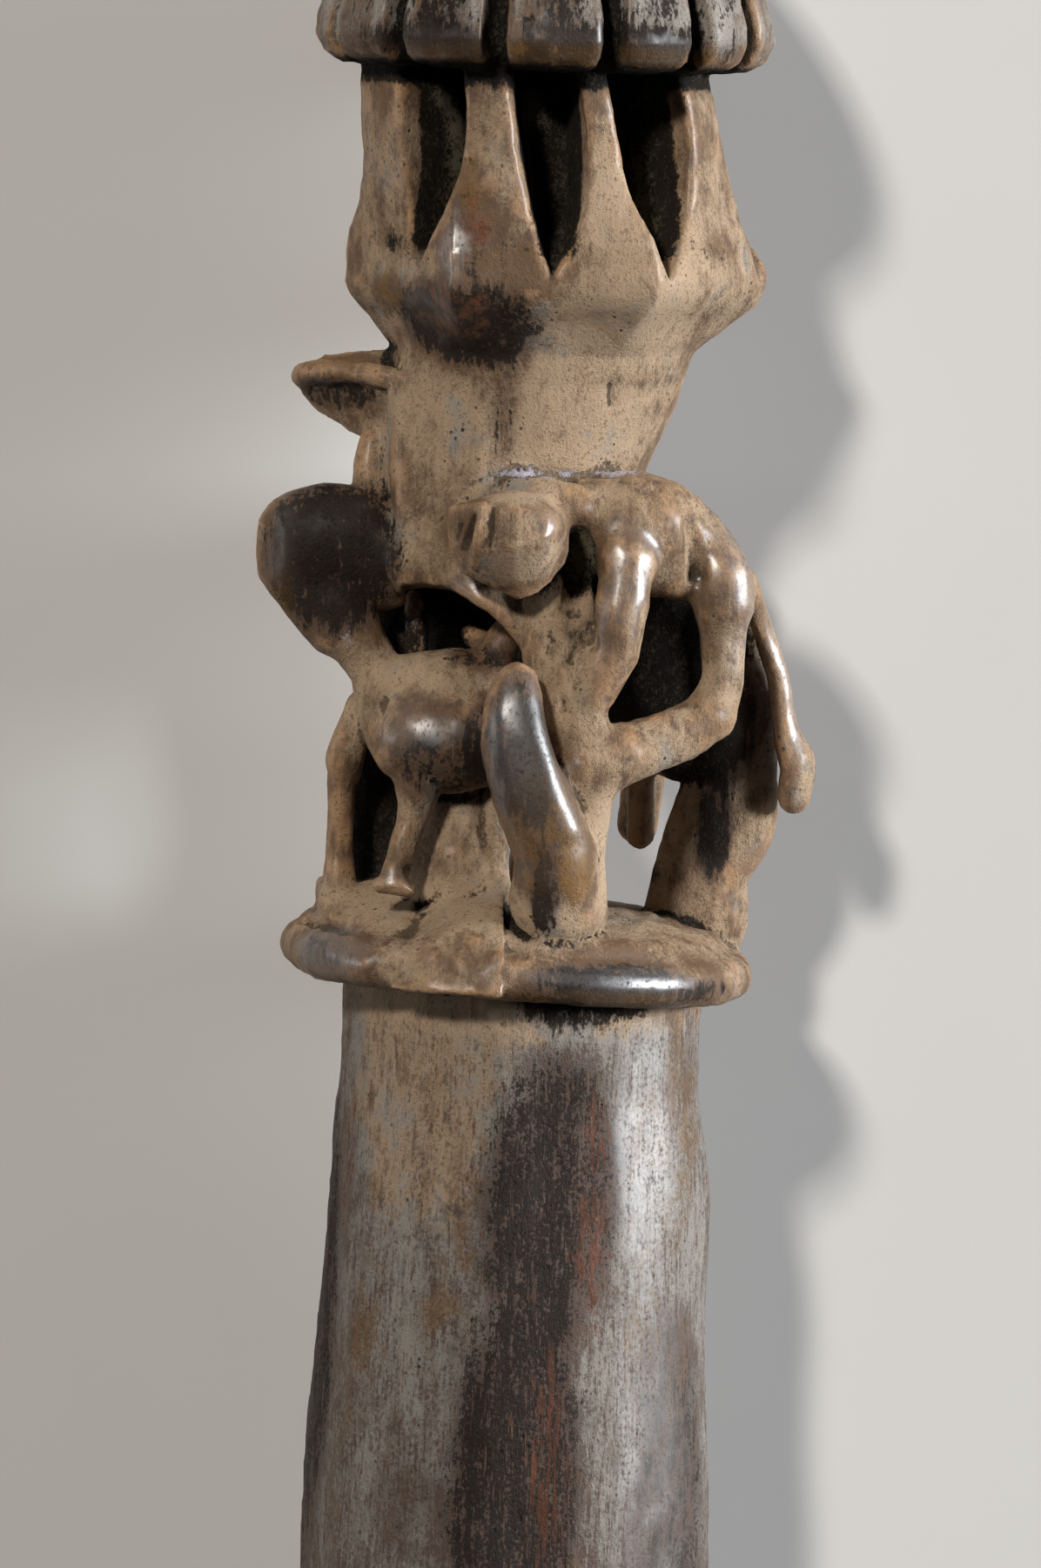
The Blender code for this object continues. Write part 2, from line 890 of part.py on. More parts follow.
def carve_head():
    """All of the carving above the shaft, as overlapping closed shells in one mesh."""
    bm = bmesh.new()
    add_platform(bm)
    add_neck(bm)
    add_lantern(bm)
    add_cap(bm)
    for corners in (BEAST_HEAD, LEDGE, APRON, NECK_FLATS, BEAK):
        add_block(bm, corners)
    for figure in (HEART, BEAST, HORN, PERCHER, NECK_CARVING, REAR_BEAST):
        for _, flatness, direction, stations in figure:
            add_limb(bm, flatness, direction, stations)
    bmesh.ops.recalc_face_normals(bm, faces=bm.faces)
    mesh = bpy.data.meshes.new("staff")
    bm.to_mesh(mesh)
    bm.free()
    return mesh


def shaft_radius(depth):
    """The shaft's radius at a depth below the platform: a narrow top, a swelling grip, a long taper."""
    if depth < GRIP_DEPTH:
        share = max(0.0, depth / GRIP_DEPTH - 0.13) / 0.87
        return SHAFT_TOP_RADIUS + (GRIP_RADIUS - SHAFT_TOP_RADIUS) * (1 - (1 - share) ** 2.5)
    share = (depth - GRIP_DEPTH) / (SHAFT_LENGTH - GRIP_DEPTH)
    return GRIP_RADIUS - (GRIP_RADIUS - FOOT_RADIUS) * (share * 1.3 - share**2 * 0.3)


def turn_shaft():
    """The shaft, which goes half way into the platform, with a rounded edge round its foot."""
    depths = [-PLATFORM_RIM / 2, 0.0]
    depths += [GRIP_DEPTH * share for share in (0.13, 0.22, 0.32, 0.45, 0.6, 0.8, 1.0)]
    depths += [GRIP_DEPTH + (SHAFT_LENGTH - FOOT_ROUNDING - GRIP_DEPTH) * i / 14 for i in range(1, 15)]
    profile = [(-depth, shaft_radius(depth)) for depth in depths]
    for degrees in (22, 45, 68, 90):
        drop, reach = math.sin(math.radians(degrees)), math.cos(math.radians(degrees))
        low = FOOT_ROUNDING - SHAFT_LENGTH - FOOT_ROUNDING * drop
        profile.append((low, FOOT_RADIUS - FOOT_ROUNDING * (1 - reach)))
    radius_at = dict(profile)
    bm = bmesh.new()
    levels = [(height, 0.0) for height, _ in profile]
    add_turned(bm, levels, lambda height, _: radius_at[height], SHAFT_SIDES)
    bmesh.ops.recalc_face_normals(bm, faces=bm.faces)
    mesh = bpy.data.meshes.new("shaft")
    bm.to_mesh(mesh)
    bm.free()
    return mesh


def add_object(name, mesh):
    thing = bpy.data.objects.new(name, mesh)
    bpy.context.scene.collection.objects.link(thing)
    return thing


def add_helper(name, mesh):
    """A shape that only works on the staff and is no part of it."""
    helper = add_object(name, mesh)
    helper.hide_render = True
    helper.display_type = "WIRE"
    return helper


def settle(thing):
    """Replaces an object's mesh by what its modifiers make of it."""
    shaped = thing.evaluated_get(bpy.context.evaluated_depsgraph_get())
    mesh = bpy.data.meshes.new_from_object(shaped)
    thing.modifiers.clear()
    thing.data = mesh


def boolean(thing, operation, helper):
    step = thing.modifiers.new(helper.name, "BOOLEAN")
    step.operation = operation
    step.solver = "EXACT"
    step.object = helper


def fuse(thing):
    """Makes one skin of the overlapping shells, softens it and thins it out."""
    remesh = thing.modifiers.new("fused", "REMESH")
    remesh.mode = "VOXEL"
    remesh.voxel_size = CARVING_CELL
    soften = thing.modifiers.new("softened", "SMOOTH")
    soften.factor = 0.5
    soften.iterations = 3
    settle(thing)
    thin = thing.modifiers.new("thinned", "DECIMATE")
    thin.ratio = CARVING_TRIANGLES / (2 * len(thing.data.polygons))
    settle(thing)


def lay_down(thing):
    """Tips the staff onto its back until the platform's rim and the foot rest on the ground."""
    platform_rest = PLATFORM_RADIUS - PLATFORM_FLAT_DEPTH
    foot_rest = FOOT_RADIUS - FOOT_FLAT_DEPTH
    run = SHAFT_LENGTH - FOOT_ROUNDING + PLATFORM_RIM / 2
    tip = math.atan2(platform_rest - foot_rest, run)
    thing.data.transform(Matrix.Translation((0, -PLATFORM_RIM / 2, 0)))
    thing.data.transform(Matrix.Translation((0, 0, platform_rest)) @ Matrix.Rotation(tip, 4, "X"))


def add_wood():
    wood = bpy.data.materials.new("hardwood")
    wood.use_nodes = True
    shader = wood.node_tree.nodes["Principled BSDF"]
    shader.inputs["Base Color"].default_value = (0.20, 0.12, 0.07, 1)
    shader.inputs["Roughness"].default_value = 0.55
    return wood


for thing in list(bpy.data.objects):
    bpy.data.objects.remove(thing)
staff = add_object("staff", carve_head())
fuse(staff)
shaft = add_helper("shaft", turn_shaft())
boolean(staff, "UNION", shaft)
settle(staff)
bpy.data.objects.remove(shaft)
lay_down(staff)

bpy.ops.mesh.primitive_cube_add(size=1)
ground = bpy.context.object
ground.name = "ground"
ground.hide_render = True
ground.display_type = "WIRE"
ground.scale = (PLATFORM_RADIUS * 4, SHAFT_LENGTH * 3, PLATFORM_RADIUS)
ground.location = (0, 0, -PLATFORM_RADIUS / 2)
bpy.context.view_layer.update()
boolean(staff, "DIFFERENCE", ground)
settle(staff)
bpy.data.objects.remove(ground)

places = [v.co for v in staff.data.vertices]
spans = [(min(p[axis] for p in places), max(p[axis] for p in places)) for axis in (0, 1)]
staff.data.transform(Matrix.Translation((-sum(spans[0]) / 2, -sum(spans[1]) / 2, 0)))
staff.data.materials.clear()
staff.data.materials.append(add_wood())
staff.data.name = "staff"
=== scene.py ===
"""An old ceremonial staff, carved from one length of hardwood, that lies on its back on a pale studio floor.

The carving is worked out in the staff's own frame, in millimetres: x across it to the right, y up the staff
from the platform's underside, z towards the carved front. It is then laid where the frame's staff lies.
"""

import json
import math

import bmesh
import bpy
import numpy as np
from mathutils import Matrix, Vector


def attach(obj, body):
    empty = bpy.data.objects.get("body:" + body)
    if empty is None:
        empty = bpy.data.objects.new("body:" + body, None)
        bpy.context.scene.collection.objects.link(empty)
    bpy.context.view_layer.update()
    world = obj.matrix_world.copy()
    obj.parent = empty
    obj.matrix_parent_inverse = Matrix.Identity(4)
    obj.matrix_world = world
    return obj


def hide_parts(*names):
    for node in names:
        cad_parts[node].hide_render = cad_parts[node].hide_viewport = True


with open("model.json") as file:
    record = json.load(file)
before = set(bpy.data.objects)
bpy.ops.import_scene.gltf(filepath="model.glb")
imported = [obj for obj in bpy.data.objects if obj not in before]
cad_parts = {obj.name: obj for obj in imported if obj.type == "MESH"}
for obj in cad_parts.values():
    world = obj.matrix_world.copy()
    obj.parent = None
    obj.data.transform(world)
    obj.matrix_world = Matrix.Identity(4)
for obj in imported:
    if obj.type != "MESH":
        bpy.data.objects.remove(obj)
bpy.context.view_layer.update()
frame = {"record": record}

# How the staff lies: the real one can't stand unheld, so it rests on its platform's rim and on its foot.
# Its foot's flat end and the way the shaft points come from the frame.
MM = 0.001
SHAFT_LENGTH = 860.0
foot_end = next(mount for mount in frame["record"]["mounts"] if mount["name"] == "foot_end")
up_the_staff = -Vector(foot_end["axis"]).normalized()
to_the_right = Vector((1, 0, 0))
to_the_front = to_the_right.cross(up_the_staff)
lie = Matrix((to_the_right, up_the_staff, to_the_front)).transposed().to_4x4()
lie.translation = Vector(foot_end["pos_m"]) + up_the_staff * SHAFT_LENGTH * MM
ground_normal = np.array(lie.to_3x3().transposed() @ Vector((0, 0, 1)))
ground_depth = lie.translation.z / MM

# The view: the camera looks down on the lying staff, a little from above its head and turned a little, so
# that only the carved head and the top of the shaft fill the tall picture.
CAMERA_DISTANCE = 0.700
CAMERA_TIP = math.radians(5.5)
CAMERA_ROLL = math.radians(1.7)
VIEW_MIDDLE = Vector((-0.63, 16.0, 0.0)) * MM
VIEW_HEIGHT = 129.7 * MM


def placed(name, data):
    """A new object in the scene."""
    thing = bpy.data.objects.new(name, data)
    bpy.context.scene.collection.objects.link(thing)
    return thing


back = Vector((0, math.sin(CAMERA_TIP), math.cos(CAMERA_TIP)))
upright = back.cross(to_the_right)
view_right = to_the_right * math.cos(CAMERA_ROLL) + upright * math.sin(CAMERA_ROLL)
view_up = upright * math.cos(CAMERA_ROLL) - to_the_right * math.sin(CAMERA_ROLL)
camera_data = bpy.data.cameras.new("photographer's view")
camera_data.sensor_fit = "VERTICAL"
camera_data.sensor_height = 36.0
camera_data.lens = camera_data.sensor_height * CAMERA_DISTANCE / VIEW_HEIGHT
camera_data.clip_start = 0.01
camera_data.clip_end = 20.0
stand = Matrix((view_right, view_up, back)).transposed().to_4x4()
stand.translation = VIEW_MIDDLE + back * CAMERA_DISTANCE
camera = placed("photographer's view", camera_data)
camera.matrix_world = lie @ stand
bpy.context.scene.camera = camera

# The staff: one long billet of dense brown hardwood. A carver cuts into it from outside, so here too it is
# one body of wood that forms are joined to and cut from. The wood is a field over a grid of points, below
# zero inside and above zero outside, in millimetres, with fine cells round the carving.
CELL = 0.27
FAR = 9.0
BILLET_FOOT, BILLET_TOP, BILLET_REACH = -SHAFT_LENGTH - 4, 108, 26


def ladder(*stretches):
    """Grid points along one axis, from stretches of (start, end, step)."""
    return np.concatenate([np.arange(*stretch) for stretch in stretches])


def blended(wood, shape, fillet):
    """Two bodies of wood as one, with a fillet of that size where they meet."""
    share = np.clip(0.5 + (wood - shape) / (2 * fillet), 0, 1)
    return wood + (shape - wood) * share - fillet * share * (1 - share)


def carved(wood, shape, rounding):
    """The wood without the shape, with the new edge rounded by that size."""
    return -blended(-wood, shape, rounding)


class Billet:
    """The wood that is carved."""

    def __init__(self, across, along, front):
        self.axes = (across, along, front)
        self.field = np.full([len(axis) for axis in self.axes], FAR, np.float32)

    def window(self, low, high):
        """The grid between two corners: its slices, and the coordinates of its points."""
        spans = []
        for axis, start, end in zip(self.axes, low, high):
            first, last = np.searchsorted(axis, (start, end))
            spans.append(slice(int(first), int(max(last, first + 1))))
        x, y, z = (axis[span] for axis, span in zip(self.axes, spans))
        return tuple(spans), (x[:, None, None], y[None, :, None], z[None, None, :])

    def stretch(self, low, high, reach):
        """The grid between two heights, out to a reach from the middle line."""
        return self.window((-reach, low, -reach), (reach, high, reach))

    def join(self, span, shape, fillet):
        self.field[span] = blended(self.field[span], shape, fillet)

    def cut(self, span, shape, rounding):
        self.field[span] = carved(self.field[span], shape, rounding)


billet = Billet(
    ladder((-24.9, 25.5, CELL)),
    ladder((-SHAFT_LENGTH - 3, -SHAFT_LENGTH + 6, 0.6), (-SHAFT_LENGTH + 6, -52, 6.0), (-52, -2.5, 0.5),
           (-2.5, 83, CELL), (83, 107, 0.45)),
    ladder((-20.1, -5.0, CELL * 1.7), (-5.0, 20.6, CELL)),
)

# The shaft: rounded by eye with a knife, with long soft flats and a bulge on the right near the top. It is
# narrow under the platform, swells to the grip that a hand closes round, and tapers to a plain rounded foot.
SHAFT_TOP_RADIUS = 14.8
GRIP_RADIUS = 17.1
GRIP_DEPTH = 70.0
SWELL_START = 0.13
FOOT_RADIUS = 11.2
FOOT_ROUNDING = 3.0
BULGE_TURN = 84
BULGE_DEPTH = 17.5
BULGE_LIFT = 0.55
# Each flat's turn from the front in degrees, its depth, and half its width in degrees.
SHAFT_FLATS = ((-64, 0.35, 17), (-22, 0.22, 20), (12, 0.3, 14), (40, 0.2, 14), (96, 0.35, 20),
               (150, 0.3, 22), (205, 0.35, 24), (250, 0.3, 20))


def smooth(share):
    """A share from 0 to 1, eased at both ends."""
    share = np.clip(share, 0, 1)
    return share * share * (3 - 2 * share)


def round_staff(x, y, z, sway):
    """How far out from the swayed middle line, and the turn from the front towards the right in degrees."""
    aside, ahead = x - sway, z + y * 0
    return np.hypot(aside, ahead), np.degrees(np.arctan2(aside, ahead))


def apart(turn, middle):
    """The signed turn from a middle direction."""
    return (turn - middle + 180) % 360 - 180


def beside(turn, middle, width):
    """1 at the middle direction, and smoothly down to 0 at that many degrees from it."""
    return smooth(1 - np.abs(apart(turn, middle)) / width)


span, (x, y, z) = billet.stretch(BILLET_FOOT, 3, BILLET_REACH)
depth = -y
out, turn = round_staff(x, y, z, 0)
swell = np.clip(depth / GRIP_DEPTH - SWELL_START, 0, 1 - SWELL_START) / (1 - SWELL_START)
radius = SHAFT_TOP_RADIUS + (GRIP_RADIUS - SHAFT_TOP_RADIUS) * (1 - (1 - swell) ** 2.5)
taper = np.clip((depth - GRIP_DEPTH) / (SHAFT_LENGTH - GRIP_DEPTH), 0, 1)
radius = radius - (GRIP_RADIUS - FOOT_RADIUS) * (taper * 1.3 - taper**2 * 0.3)
for middle, flat, width in SHAFT_FLATS:
    radius = radius - flat * beside(turn, middle + 5 * np.sin(y / 47 + middle), width)
radius = radius + BULGE_LIFT * np.exp(-((depth - BULGE_DEPTH) / 5.5) ** 2) * beside(turn, BULGE_TURN, 40)
radius = radius + 0.16 * np.sin(y / 6.1 + turn / 23) * smooth((depth - 4) / 20)
shape = out - radius
inner = shape + FOOT_ROUNDING
lower = depth - SHAFT_LENGTH + FOOT_ROUNDING
rounded = np.hypot(np.maximum(inner, 0), np.maximum(lower, 0)) + np.minimum(np.maximum(inner, lower), 0)
billet.join(span, np.where(lower > -6, rounded - FOOT_ROUNDING, shape).astype(np.float32), 0.1)

# The platform: a round base under the figures, left standing out from the shaft, with a worn round rim and a
# low mound. Its underside is cut in sharply. It is a little out of true, as cut by eye.
PLATFORM_RADIUS = 19.0
PLATFORM_RIM = 3.8
PLATFORM_MOUND = 2.2
PLATFORM_SLANT = math.radians(4.0)
PLATFORM_TOP = PLATFORM_RIM + PLATFORM_MOUND


def turned(table, height):
    """The table's second column at these heights."""
    rows = np.array(table)
    return np.interp(height, rows[:, 0], rows[:, 1])


def between(side, height, low, high):
    """A body inside this side, ended square at two heights."""
    return np.maximum(np.maximum(side, low - height), height - high)


half = PLATFORM_RIM / 2
rim_rows = [(-0.4, PLATFORM_RADIUS - half * 2.2), (0.0, PLATFORM_RADIUS - half * 0.95)]
for degrees in (-60, -30, 0, 30, 60):
    lift, reach = math.sin(math.radians(degrees)), math.cos(math.radians(degrees))
    rim_rows.append((half * (1 + lift), PLATFORM_RADIUS - half * (1 - reach)))
rim_rows += [
    (PLATFORM_RIM, PLATFORM_RADIUS - half),
    (PLATFORM_RIM + PLATFORM_MOUND * 0.6, PLATFORM_RADIUS * 0.82),
    (PLATFORM_TOP, PLATFORM_RADIUS * 0.62),
    (PLATFORM_TOP + 0.4, PLATFORM_RADIUS * 0.30),
]
span, (x, y, z) = billet.stretch(-3, 10, 22)
level = y + x * math.sin(PLATFORM_SLANT)
out, turn = round_staff(x, y, z, 0)
slab = between((out - turned(rim_rows, level)) * 0.8, level, 0, PLATFORM_TOP + 0.2)
billet.join(span, slab.astype(np.float32), 0.35)

# The figures stand between the platform and the neck, carved as limbs with round ends and faceted blocks.
# They are drawn in shares: a limb's station is (across, up, front, girth), in platform radii, but up in
# heights of the openwork above the platform's top. A block's corner is (across, up, front).
OPENWORK_HEIGHT = 36.0
FRONT = (0, 0, 1)
MARGIN = 1.4


def drawn(stations):
    """Drawn shares as millimetres."""
    rows = []
    for across, up, front, *girth in stations:
        place = (across * PLATFORM_RADIUS, PLATFORM_TOP + up * OPENWORK_HEIGHT, front * PLATFORM_RADIUS)
        rows.append((*place, *(g * PLATFORM_RADIUS for g in girth)))
    return rows


def eased(stations, steps=5):
    """The stations with more between them, on a smooth curve."""
    rows = np.array(stations)
    rows = np.vstack([rows[0] * 2 - rows[1], rows, rows[-1] * 2 - rows[-2]])
    found = []
    for a, b, c, d in zip(rows, rows[1:], rows[2:], rows[3:]):
        for t in np.arange(steps) / steps:
            bend = (a * 2 - b * 5 + c * 4 - d) * t**2 + (b * 3 - a - c * 3 + d) * t**3
            found.append((b * 2 + (c - a) * t + bend) / 2)
    return np.array([*found, rows[-2]])


def limb(stations, fillet=0.7, flatness=1, thin_way=FRONT, cut=False):
    """Joins or cuts a limb through its drawn stations, flattened by that share along the thin way."""
    rows = eased(drawn(stations))
    thin = np.array(Vector(thin_way).normalized())
    reach = rows[:, 3].max() + MARGIN + fillet
    whole, _ = billet.window(rows[:, :3].min(0) - reach, rows[:, :3].max(0) + reach)
    shape = np.full(billet.field[whole].shape, FAR, np.float32)
    for start, end in zip(rows, rows[1:]):
        reach = max(start[3], end[3]) + MARGIN + fillet
        low, high = np.minimum(start, end)[:3] - reach, np.maximum(start, end)[:3] + reach
        span, (x, y, z) = billet.window(low, high)
        local = tuple(slice(p.start - w.start, p.stop - w.start) for p, w in zip(span, whole))
        run = end[:3] - start[:3]
        dx, dy, dz = x - start[0], y - start[1], z - start[2]
        along = np.clip((dx * run[0] + dy * run[1] + dz * run[2]) / max(run @ run, 1e-9), 0, 1)
        qx, qy, qz = dx - run[0] * along, dy - run[1] * along, dz - run[2] * along
        squared = qx * qx + qy * qy + qz * qz
        girth = start[3] + (end[3] - start[3]) * along
        out = np.sqrt(squared)
        side = out - girth
        if flatness < 1:
            flat = qx * thin[0] + qy * thin[1] + qz * thin[2]
            wide = np.sqrt(squared + flat * flat * (1 / flatness**2 - 1)) + 1e-6
            side = (wide - girth) * out / wide
        shape[local] = np.minimum(shape[local], side)
    (billet.cut if cut else billet.join)(whole, shape, fillet)


def figure(*limbs):
    """Joins limbs, each given as its name, fillet and stations, and if flat its flatness and thin way."""
    for _, fillet, stations, *flattened in limbs:
        limb(stations, fillet, *flattened)


def hull_planes(corners):
    """The faces of the block round the corners, each as its normal and its distance from the origin."""
    bm = bmesh.new()
    for corner in corners:
        bm.verts.new(corner)
    bmesh.ops.convex_hull(bm, input=bm.verts)
    middle = sum((v.co for v in bm.verts), Vector()) / len(bm.verts)
    planes = []
    for face in bm.faces:
        face.normal_update()
        normal = face.normal.copy()
        if normal.dot(face.verts[0].co - middle) < 0:
            normal.negate()
        planes.append((tuple(normal), normal.dot(face.verts[0].co)))
    bm.free()
    return planes


def block(corners, fillet, rounding, cut=False):
    """Joins or cuts the faceted block that just holds the drawn corners."""
    corners = drawn(corners)
    points = np.array(corners)
    reach = MARGIN + fillet
    span, (x, y, z) = billet.window(points.min(0) - reach, points.max(0) + reach)
    shape = np.full(billet.field[span].shape, -FAR, np.float32)
    for normal, offset in hull_planes(corners):
        shape = carved(shape, offset - (x * normal[0] + y * normal[1] + z * normal[2]), rounding)
    (billet.cut if cut else billet.join)(span, shape, fillet)


# The neck: a plain column that sways to the left and narrows where it meets the right-hand animal's back. A
# faceted shoulder stands out from its left front, with a shallow groove down it.
NECK_HEIGHT = 10.0
NECK_RADIUS = 12.1
NECK_WAIST_RADIUS = 10.4
RING_HEIGHT = 6.4
NECK_FOOT = PLATFORM_TOP + OPENWORK_HEIGHT
RING_FOOT = NECK_FOOT + NECK_HEIGHT
RING_TOP = RING_FOOT + RING_HEIGHT
NECK_LOW, NECK_HIGH = NECK_FOOT - 9.0, RING_FOOT + 2.0
NECK_SWAY = ((NECK_LOW, -2.38), (NECK_FOOT, -2.0), (RING_FOOT, -0.23), (RING_TOP, 0.0))
NECK_ROWS = (
    (NECK_LOW, NECK_WAIST_RADIUS * 0.86), (NECK_FOOT - 7.9, NECK_WAIST_RADIUS * 0.92),
    (NECK_FOOT - 3.6, NECK_WAIST_RADIUS * 0.95), (NECK_FOOT, NECK_WAIST_RADIUS),
    (NECK_FOOT + 2.5, NECK_WAIST_RADIUS * 1.04), (NECK_FOOT + 5.5, NECK_RADIUS * 0.955),
    (RING_FOOT, NECK_RADIUS), (RING_TOP, NECK_RADIUS),
)
span, (x, y, z) = billet.stretch(NECK_LOW - 2, NECK_HIGH + 2, 17)
out, turn = round_staff(x, y, z, turned(NECK_SWAY, y))
skin = out - turned(NECK_ROWS, y)
skin = skin + 0.30 * np.exp(-(apart(turn, -13) / 5) ** 2) - 0.5 * beside(turn, 85, 60)
billet.join(span, between(skin, y, NECK_LOW, NECK_HIGH).astype(np.float32), 0.5)
block((
    (-0.62, 1.23, 0.37), (-0.25, 1.254, 0.57), (-0.6, 0.77, 0.42), (-0.42, 0.75, 0.53),
    (-0.26, 0.74, 0.61), (-0.72, 1.19, 0.05), (-0.72, 0.951, 0.05), (-0.66, 0.762, 0.11),
    (-0.46, 1.21, -0.11), (-0.43, 0.75, 0.11), (-0.06, 0.67, 0.6), (-0.06, 1.2, 0.5), (-0.06, 0.67, 0.1)
), 0.8, 0.5)
limb((
    (-0.24, 1.251, 0.7, 0.09), (-0.25, 1.153, 0.68, 0.085), (-0.26, 1.054, 0.67, 0.075)
), fillet=0.6, cut=True)

# The lantern: eight posts round a solid core, with hollows cut between them that end in points, on a
# six-sided ring over a cone.
LANTERN_HEIGHT = 16.6
LANTERN_TOP_RADIUS = 14.5
LANTERN_CORE_RADIUS = 7.4
LANTERN_SWAY = 1.2
RING_RADIUS = 17.4
RING_CORNERS = (-88, -29, 28, 86, 147, 210)
CAP_UNDERSIDE = RING_TOP + LANTERN_HEIGHT
LANTERN_LOW, LANTERN_HIGH = RING_FOOT - 2.0, CAP_UNDERSIDE + 1.5
LANTERN_SWAYS = ((RING_FOOT, 0.0), (RING_TOP, LANTERN_SWAY), (CAP_UNDERSIDE, -LANTERN_SWAY))
LANTERN_ROWS = (
    (LANTERN_LOW, NECK_RADIUS * 0.97),
    (RING_FOOT, NECK_RADIUS * 1.02),
    (RING_FOOT + RING_HEIGHT * 0.62, RING_RADIUS * 0.955),
    (RING_FOOT + RING_HEIGHT * 0.80, RING_RADIUS * 0.995),
    (RING_TOP, RING_RADIUS),
    (RING_TOP + LANTERN_HEIGHT * 0.12, RING_RADIUS * 0.985),
    (RING_TOP + LANTERN_HEIGHT * 0.30, RING_RADIUS * 0.935),
    (RING_TOP + LANTERN_HEIGHT * 0.55, RING_RADIUS * 0.875),
    (CAP_UNDERSIDE, LANTERN_TOP_RADIUS),
)
# Each hollow's turn at its pointed foot, and the turns of its two sides under the cap.
HOLLOWS = ((-50, -49, -24), (-2, -9, 15), (33, 24, 55), (82, 80, 101), (128, 122, 147), (174, 168, 193),
           (222, 215, 238), (264, 256, 279))
HOLLOW_FOOT_STEP = 6.5
HOLLOW_ROUNDING = 0.55
span, (x, y, z) = billet.stretch(LANTERN_LOW - 2, LANTERN_HIGH + 2, 20)
out, turn = round_staff(x, y, z, turned(LANTERN_SWAYS, y))
six_sided = np.ones_like(turn)
for corner, after in zip(RING_CORNERS, (*RING_CORNERS[1:], RING_CORNERS[0] + 360)):
    past = (turn - corner) % 360
    half_side = math.radians(after - corner) / 2
    side_share = math.cos(half_side) / np.cos(np.radians(past) - half_side)
    six_sided = np.where(past <= after - corner, side_share, six_sided)
rise = (y - RING_TOP) / LANTERN_HEIGHT
squared = np.where(y < RING_TOP, smooth((y - RING_FOOT) / RING_HEIGHT * 1.5 + 0.2), smooth(1 - rise * 1.4))
skin = turned(LANTERN_ROWS, y) * (1 + (six_sided - 1) * squared)
body = between((out - skin) * 0.9, y, LANTERN_LOW, LANTERN_HIGH)
spread = 1 - (1 - np.clip(rise, 0, 1)) ** 2.8
floor_radius = LANTERN_CORE_RADIUS + HOLLOW_FOOT_STEP * (1 - smooth(rise / 0.3))
for foot_turn, left, right in HOLLOWS:
    low, high = foot_turn + (left - foot_turn) * spread, foot_turn + (right - foot_turn) * spread
    aside = np.abs(apart(turn, (low + high) / 2)) - (high - low) / 2
    wall = np.radians(aside) * np.maximum(out, 8)
    hollow = np.maximum(np.maximum(wall, floor_radius - out), (RING_TOP - y) * 0.8)
    body = carved(body, hollow, HOLLOW_ROUNDING)
billet.join(span, body.astype(np.float32), 0.5)

# The cap: a low dome with a rim of rounded lobes, parted by deep dark flutes, and a small knob on top. The
# photograph shows only its lower rim, so the dome and the knob are plainer.
CAP_RADIUS = 18.8
CAP_HEIGHT = 30.0
CAP_SWAY = -0.38
CAP_FLUTES = (-70, -42, -13, 17.5, 43, 65, 92, 120, 148, 176, 205, 234, 262)
FLUTE_DEPTH = 2.5
FLUTE_HALF_WIDTH = 1.0
FLUTE_ROUNDING = 0.6
FLUTE_TOP = 0.74
# The dome's and the knob's outline, in shares of the cap's height and radius.
CAP_ROWS = (
    (0, 0.8), (0.01, 0.9), (0.035, 0.965), (0.08, 1), (0.13, 0.995), (0.22, 0.95), (0.32, 0.88),
    (0.43, 0.775), (0.53, 0.65), (0.62, 0.5), (0.69, 0.365), (0.74, 0.29), (0.78, 0.262), (0.82, 0.28),
    (0.88, 0.3), (0.94, 0.27), (0.98, 0.18), (1, 0.06),
)
span, (x, y, z) = billet.stretch(CAP_UNDERSIDE - 2, CAP_UNDERSIDE + CAP_HEIGHT + 2, 21)
out, turn = round_staff(x, y, z, CAP_SWAY)
rise = (y - CAP_UNDERSIDE) / CAP_HEIGHT
skin = CAP_RADIUS * turned(CAP_ROWS, rise)
slope = np.clip(1.2 - np.abs(rise - 0.15), 0.55, 1)
cap = between((out - skin) * slope, y, CAP_UNDERSIDE, CAP_UNDERSIDE + CAP_HEIGHT)
flute_depth = FLUTE_DEPTH * smooth((FLUTE_TOP - rise) / 0.3) + 0.01
for flute in CAP_FLUTES:
    aside = np.radians(np.abs(apart(turn, flute))) * out
    groove = np.hypot(aside / FLUTE_HALF_WIDTH, (skin - out) / flute_depth) - 1
    cap = carved(cap, groove * FLUTE_HALF_WIDTH * 0.8, FLUTE_ROUNDING)
billet.join(span, cap.astype(np.float32), 0.4)

